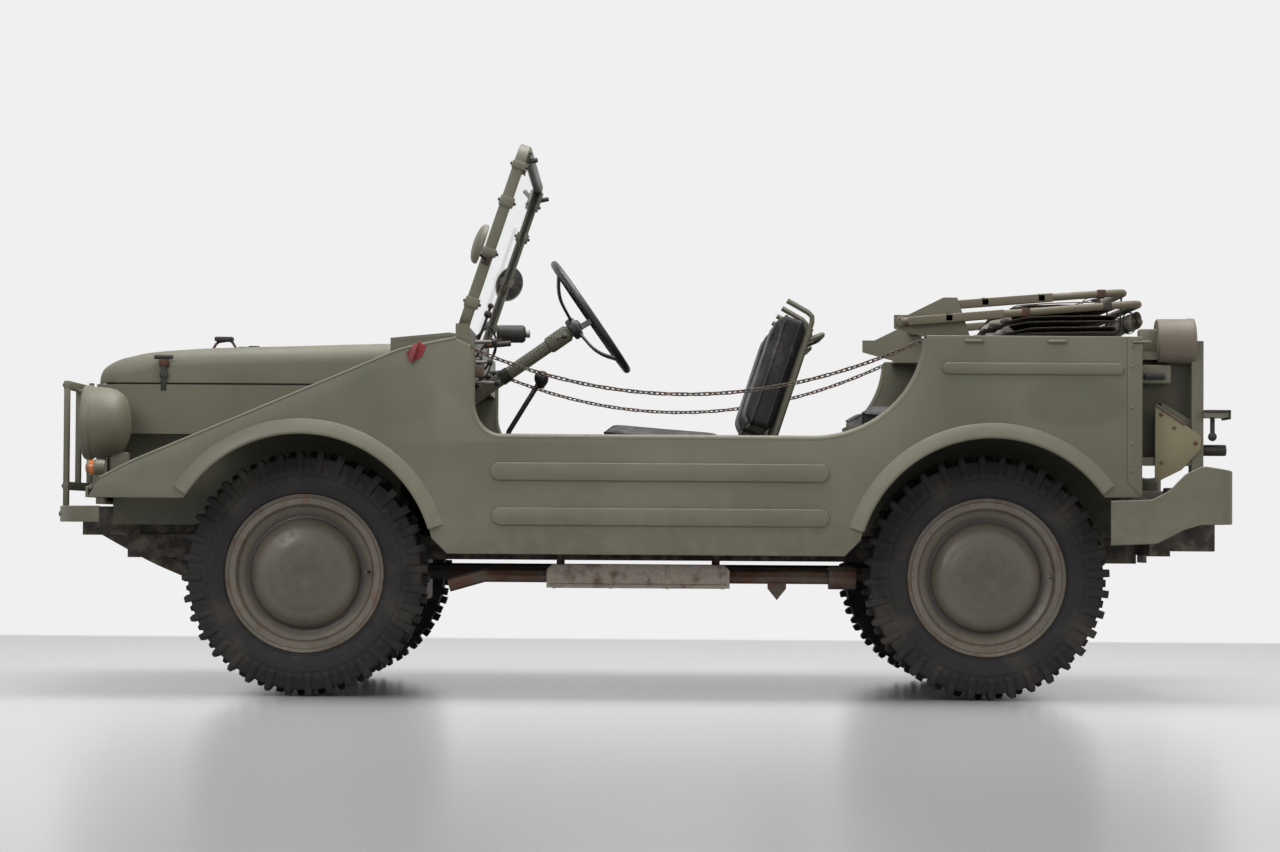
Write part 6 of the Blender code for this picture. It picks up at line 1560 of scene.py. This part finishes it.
def hood_roll():
    """What is left of the hood: a long strip of canvas rolled up and strapped to its bow."""
    canvas("canvas_roll", "main_bow", ROLL_HALF_WIDTH, ROLL_ROWS, roll_ring, "bow_main_tube", "hood_roll")
    straps = Piece("roll_straps")
    loop = [(u, 0, v) for u, v in arc(ROLL_MIDDLE, *ROLL_STRAP_HALVES, 0, 360, 40)[:-1]]
    strap = swept(loop, slab(*ROLL_STRAP_SECTION), True, up=(0, 1, 0))
    for y in ROLL_STRAP_SPOTS:
        place = Matrix.Translation((0, y, 0))
        straps.add(strap, WEBBING, place).add_rows(ROLL_BUCKLE_ROWS, place)
    straps.show("main_bow", "black_plastic")


# Seats: name, x of the front leg, middle y, half width, top of the frame, depth, height of the back
SEATS = (
    ("seat_left", -0.1, -0.38, 0.23, 0.6963, 0.455, 0.38),
    ("rear_seat", 0.68, 0, 0.44, 0.764, 0.5, 0.2),
)
SEAT_DROP = 0.036
BACK_ANGLE = 18
PAD_LIFT = 0.0113
PAD_THICK = 0.09
PAD_FRONT = -0.04
PAD_REAR_GAP = 0.096
BACK_THICK = 0.085
BACK_LIFT = 0.11
# Seams lie this far inside the pad's faces: cushion's top and bottom, back's rear and front
CUSHION_SEAMS = (0.012, 0.016)
BACK_SEAMS = (0.012, 0.014)
SEAM_BEND = 0.03
SEAM_STEP = 0.012
PAD_SHRINK = 0.007
PAD_EDGE = 0.014
PAD_VOXEL = 0.009
PAD_CAP = 0.017
PAD_FRAMES = 20
PAD_PRESSURE = 4
PUCKER = 0.0016
PUCKER_REACH_SHARE = 0.9
PIPE = 0.0042


def swollen(mesh, low, high, rest_axis, rest_side):
    """A pad that swells under pressure. It stays flat on the side that it rests on."""
    obj = linked("swelling", mesh)
    remesh = obj.modifiers.new("Voxels", "REMESH")
    remesh.mode = "VOXEL"
    remesh.voxel_size = PAD_VOXEL
    mesh = applied(obj)
    starts = [vert.co.copy() for vert in mesh.vertices]
    obj = linked("swelling", mesh)
    soft = obj.modifiers.new("Soft", "CLOTH")
    soft.settings.quality = 6
    soft.settings.use_pressure = True
    soft.settings.uniform_pressure_force = PAD_PRESSURE
    soft.settings.effector_weights.gravity = 0
    for number in range(1, PAD_FRAMES + 1):
        bpy.context.scene.frame_set(number)
    mesh = applied(obj)
    bpy.context.scene.frame_set(1)
    places = [vert.co.copy() for vert in mesh.vertices]
    gather = min(high[k] - low[k] for k in range(3)) * PUCKER_REACH_SHARE
    for vert, start, place in zip(mesh.vertices, starts, places):
        move = place - start
        if move.length > PAD_CAP:
            move *= PAD_CAP / move.length
        spot = start + move
        corner = min(abs(spot.y - low.y), abs(high.y - spot.y))
        fade = max(0, 1 - corner / gather)
        spot.z += PUCKER * fade * noise.noise(spot * 34)
        spot.x += PUCKER * fade * noise.noise(spot * 27)
        limit, hold = (low, max) if rest_side < 0 else (high, min)
        spot[rest_axis] = hold(spot[rest_axis], limit[rest_axis])
        vert.co = spot
    return mesh


def on_surface(mesh, points):
    """The points moved onto the mesh, each to the nearest place."""
    bm = bmesh.new()
    bm.from_mesh(mesh)
    tree = BVHTree.FromBMesh(bm)
    bm.free()
    return [tree.find_nearest(Vector(point))[0] for point in points]


def pad(low, high, rest_axis, rest_side, seams):
    """A pad's meshes: the swollen cover, and the piping round its seams."""
    low, high = Vector(low), Vector(high)
    inset = Vector((PAD_SHRINK, PAD_SHRINK, PAD_SHRINK))
    mesh = swollen(box(low + inset, high - inset, PAD_EDGE, 4), low, high, rest_axis, rest_side)
    pipes = []
    for seam in seams:
        loop = on_surface(mesh, rounded(seam, SEAM_BEND, 6, True))
        dense = []
        for one, two in zip(loop, loop[1:] + loop[:1]):
            count = max(1, int((two - one).length / SEAM_STEP))
            dense += [one.lerp(two, i / count) for i in range(count)]
        pipes.append(tube(on_surface(mesh, dense), PIPE, True, 8))
    return mesh, pipes


def show_pad(name, node, parts, place):
    cover, pipes = parts
    obj = Piece(name).add(cover, VINYL, place).show("car", "black_vinyl", node)
    finer = obj.modifiers.new("Finer", "SUBSURF")
    finer.levels = finer.render_levels = 1
    trim = Piece(name + "_piping")
    for mesh in pipes:
        trim.add(mesh, PIPING, place)
    trim.show("car", "black_vinyl")


def seam_loops(low, high, axis, spots):
    """Rectangles round a pad, near its two big faces."""
    loops = []
    for value in spots:
        if axis == 2:
            corners = [(low[0], low[1]), (high[0], low[1]), (high[0], high[1]), (low[0], high[1])]
            loops.append([(u, v, value) for u, v in corners])
        else:
            corners = [(low[1], low[2]), (high[1], low[2]), (high[1], high[2]), (low[1], high[2])]
            loops.append([(value, u, v) for u, v in corners])
    return loops


def seats():
    for name, front_x, middle_y, half, top, depth, back_height in SEATS:
        low = (PAD_FRONT, -half, PAD_LIFT)
        high = (depth - PAD_REAR_GAP, half, PAD_LIFT + PAD_THICK)
        loops = seam_loops(low, high, 2, (high[2] - CUSHION_SEAMS[0], low[2] + CUSHION_SEAMS[1]))
        cushion = pad(low, high, 2, -1, loops)
        low = (-PAD_LIFT - BACK_THICK, -half, BACK_LIFT)
        high = (-PAD_LIFT, half, BACK_LIFT + back_height)
        loops = seam_loops(low, high, 0, (low[0] + BACK_SEAMS[0], high[0] - BACK_SEAMS[1]))
        back = pad(low, high, 0, 1, loops)
        lean = Matrix.Rotation(math.atan2(SEAT_DROP, depth), 4, "Y")
        turn = Matrix.Rotation(math.radians(BACK_ANGLE), 4, "Y")
        names = (name, "seat_right") if name == "seat_left" else (name,)
        for spot in names:
            y = middle_y if spot == name else -middle_y
            place = Matrix.Translation((front_x, y, top)) @ lean
            show_pad("cover_" + spot + "_cushion", spot + "_cushion", cushion, place)
            place = Matrix.Translation((front_x + depth, y, top - SEAT_DROP)) @ turn
            show_pad("cover_" + spot + "_back", spot + "_back", back, place)


KNOB_PLACE = (-0.316, 0, 0.963)
KNOB = (
    (0, 0.026), (0.01, 0.0245), (0.018, 0.019), (0.0222, 0.009), (0.0226, 0), (0.0205, -0.01),
    (0.015, -0.019), (0.0095, -0.026), (0.0095, -0.03), (0, -0.03),
)


def gear_knob():
    knob = turned(KNOB, Matrix.Translation(KNOB_PLACE), 32)
    Piece("gear_knob").add(knob, BLACK_PLASTIC).show("car", "black_plastic")


SKID_LINE = ((-1.694, 0.503), (-1.626, 0.463), (-1.49, 0.388), (-1.369, 0.337), (-1.29, 0.322))
SKID_HALF = 0.3
SKID_BEND = 0.05
SKID_WALL = 0.004
SKID_REAR = (-1.29, 0.5)
SKID_FRONT_GAP = 0.02
CHEEK_WALL = 0.003
LIP_RISE = 0.035
LIP_RADIUS = 0.004
# Light shield beside the silencer, in the side view, and its bands as shares of its length.
# The depths are steps out from the exhaust's side
EXHAUST_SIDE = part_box("exhaust")[0].y
SHIELD_OUTLINE = (
    (-0.279, 0.322), (0.261, 0.322), (0.261, 0.375), (0.246, 0.391), (-0.264, 0.391), (-0.279, 0.375),
)
SHIELD_SHARES = (0.04, 0.35, 0.66, 0.96)
SHIELD_ROWS = (
    (prism, SHIELD, SHIELD_OUTLINE, "Y", -0.0028, -0.0004, 0.001),
    (tube, SHIELD, ((-0.269, -0.003, 0.332), (0.251, -0.003, 0.332)), 0.003, False, 8),
)
SHIELD_BAND_ROWS = ((box, SHIELD, (-0.006, -0.0045, 0.32), (0.006, 0, 0.393), 0.002),)


def under_parts():
    """The sloped shield under the nose, and the light shield beside the silencer."""
    line = [(x, z) for x, _, z in rounded([(x, 0, z) for x, z in SKID_LINE], SKID_BEND, 5)]
    low = [(x, z - SKID_WALL) for x, z in reversed(line)]
    piece = Piece("nose_shield").add(prism(line + low, "Y", -SKID_HALF, SKID_HALF), UNDERBODY_AND_SHADE_PAINT)
    front = (line[0][0] + SKID_FRONT_GAP, SKID_REAR[1])
    cheek = prism([*line, SKID_REAR, front], "Y", -SKID_HALF, CHEEK_WALL - SKID_HALF)
    lip = tube([(x, -SKID_HALF, z + LIP_RISE) for x, z in line[2:]], LIP_RADIUS, sides=8)
    for _, flip in SIDES:
        piece.add(cheek, UNDERBODY_AND_SHADE_PAINT, flip)
        piece.add(lip, UNDERBODY_AND_SHADE_PAINT, flip)
    piece.show("car", "black_paint")
    side = Matrix.Translation((0, EXHAUST_SIDE, 0))
    piece = Piece("silencer_shield").add_rows(SHIELD_ROWS, side)
    left, right = SHIELD_OUTLINE[0][0], SHIELD_OUTLINE[1][0]
    for share in SHIELD_SHARES:
        x = left + (right - left) * share
        piece.add_rows(SHIELD_BAND_ROWS, side @ Matrix.Translation((x, 0, 0)))
    piece.show("car", "rusty_steel")


# Folded canvas: its ends in x, and the heights of its lowest and highest layer
REMAINS = (1.1, 1.398, 1.092, 1.176)
REMAINS_LAYERS = 6
REMAINS_HALF = 0.56
REMAINS_ROWS = 60
# Waves in the folds: height, and how fast they follow each other along x and y
LONG_WAVE = (0.011, 5, 3.4)
SHORT_WAVE = (0.0035, 16, 9)
WAVE_LAYERS = (0.4, 2.0)
WAVE_SHARE = 0.6
FOLD_SAG = 0.012
FOLD_PULL = 0.022
FOLD_STRAP_SPOTS = (-0.5, -0.2, 0.2, 0.5)
FOLD_STRAP = ((1.31, 0, 1.08), (1.424, 0, 1.086), (1.43, 0, 1.214), (1.395, 0, 1.214), (1.31, 0, 1.188))
FOLD_STRAP_ROWS = (
    (band, WEBBING, FOLD_STRAP, 0.02, (0.0012, 0.0135, 0.0008), 5, True, (0, 1, 0)),
    (box, DARK_STEEL, (1.34, -0.017, 1.185), (1.366, 0.017, 1.191), 0.002),
)
BROWN_STRAP_SPOTS = (-0.36, 0.02, 0.34)
BROWN_STRAP_LINE = (
    (1.404, 0, 1.19), (1.38, 0, 1.192), (1.24, 0.02, 1.189), (1.12, 0.04, 1.181), (1.088, 0.05, 1.13),
)
BROWN_STRAP_ROWS = (
    (band, BROWN_STRAP, BROWN_STRAP_LINE, 0.03, (0.001, 0.011, 0.0007), 5, False, (0, 1, 0)),
)


def fold_line():
    """The line of the folds in the side view, to and fro from the lowest layer up."""
    front, rear, low, high = REMAINS
    step = (high - low) / (REMAINS_LAYERS - 1)
    line = []
    for layer in range(REMAINS_LAYERS):
        xs = np.linspace(rear, front, 26) if layer % 2 else np.linspace(front, rear, 26)
        z = low + step * layer
        line += [(x, z) for x in xs]
        if layer < REMAINS_LAYERS - 1:
            way = -1 if layer % 2 else 1
            line += arc((xs[-1], z + step / 2), step / 2 * way, step / 2, -90, 90, 6)[1:-1]
    return line


def fold_ring(y):
    """The folded line at one y, with its waves. The cloth sags towards its front end."""
    front, rear = REMAINS[:2]
    ring = []
    for x, z in FOLD_LINE:
        share = (x - front) / (rear - front)
        wave = 0
        for (tall, along, across), depth in zip((LONG_WAVE, SHORT_WAVE), WAVE_LAYERS):
            wave += noise.noise((x * along, y * across, depth)) * tall
        sag = -FOLD_SAG * (1 - share) ** 2
        pull = FOLD_PULL * noise.noise((y * 6, z * 40, 1)) * (1 - share)
        ring.append((x + pull, y, z + (wave + sag) * (1 - share * WAVE_SHARE)))
    return ring


FOLD_LINE = fold_line()


def hood_remains():
    """The rest of the hood: canvas laid in folds under the rear bow's bar, and its straps."""
    canvas("canvas_folds", "rear_bow", REMAINS_HALF, REMAINS_ROWS, fold_ring, "bow_rear_tube")
    straps = Piece("fold_straps")
    for spots, rows in ((FOLD_STRAP_SPOTS, FOLD_STRAP_ROWS), (BROWN_STRAP_SPOTS, BROWN_STRAP_ROWS)):
        for y in spots:
            straps.add_rows(rows, Matrix.Translation((0, y, 0)))
    straps.show("rear_bow", "black_plastic")


# Wires on the scuttle
SCUTTLE_WIRES = (
    ((-0.494, -0.6, 1.0), (-0.45, -0.6, 1.06), (-0.43, -0.54, 1.03), (-0.47, -0.5, 0.97)),
    ((-0.494, -0.57, 1.06), (-0.455, -0.58, 1.1), (-0.44, -0.52, 1.07), (-0.44, -0.46, 1.06)),
    ((-0.494, -0.52, 0.93), (-0.46, -0.54, 0.95), (-0.45, -0.5, 1.0), (-0.44, -0.45, 1.045)),
)
SCUTTLE_ROWS = (
    *((wire, BLACK_RUBBER, path, 0.04, 0.0032, 6) for path in SCUTTLE_WIRES),
    (box, RUSTY, (-0.497, -0.66, 0.94), (-0.468, -0.61, 0.975), 0.004),
    (rod, DARK_STEEL, (-0.47, -0.59, 1.035), (-0.39, -0.59, 1.043), 0.0085, 16, 0.002),
)
# Taps at the scuttle's face: y, z and how far they reach out
TAPS = ((-0.63, 1.045, 0.052), (-0.63, 0.985, 0.04), (-0.6, 0.925, 0.06))
TAP_X = -0.497
TAP_STEM = 0.005
TAP_ROWS = ((rod, BLACK_PLASTIC, (0, 0, 0), (0.015, 0, 0), 0.0105, 18, 0.003),)


def scuttle_clutter():
    """Pipes, taps and wires that show below the windscreen on the driver's side."""
    piece = Piece("scuttle_fittings").add_rows(SCUTTLE_ROWS)
    for y, z, reach in TAPS:
        end = (TAP_X + reach, y, z)
        piece.add(rod((TAP_X, y, z), end, TAP_STEM, 12), STEEL)
        piece.add_rows(TAP_ROWS, Matrix.Translation(end))
    piece.show("car", "black_plastic")


COWL_OUTLINE = ((-0.725, 0.975), (-0.725, 1.041), (-0.56, 1.057), (-0.5, 1.047), (-0.5, 0.975))
COWL_END_THICK = 0.003


def cowl_ends():
    """The plates that close the scuttle's ends beside the body sides."""
    high = SINK / 2 + SIDE_THICK - SIDE_Y
    plate = prism(COWL_OUTLINE, "Y", high, high + COWL_END_THICK)
    piece = Piece("cowl_ends")
    for _, flip in SIDES:
        piece.add(plate, OLIVE_PAINT, flip)
    piece.show("car", "olive_paint")


def build():
    set_camera()
    set_stage()
    set_light()
    finish_solids()
    body_sides()
    bonnet()
    wheels()
    tyres()
    windscreen()
    chains()
    front_lamps()
    front_bars()
    corner_bumpers()
    tail_parts()
    steering_wheel()
    dash_parts()
    hood_bars()
    hood_roll()
    seats()
    gear_knob()
    under_parts()
    hood_remains()
    scuttle_clutter()
    cowl_ends()
    bpy.context.scene.view_settings.view_transform = "Standard"


build()
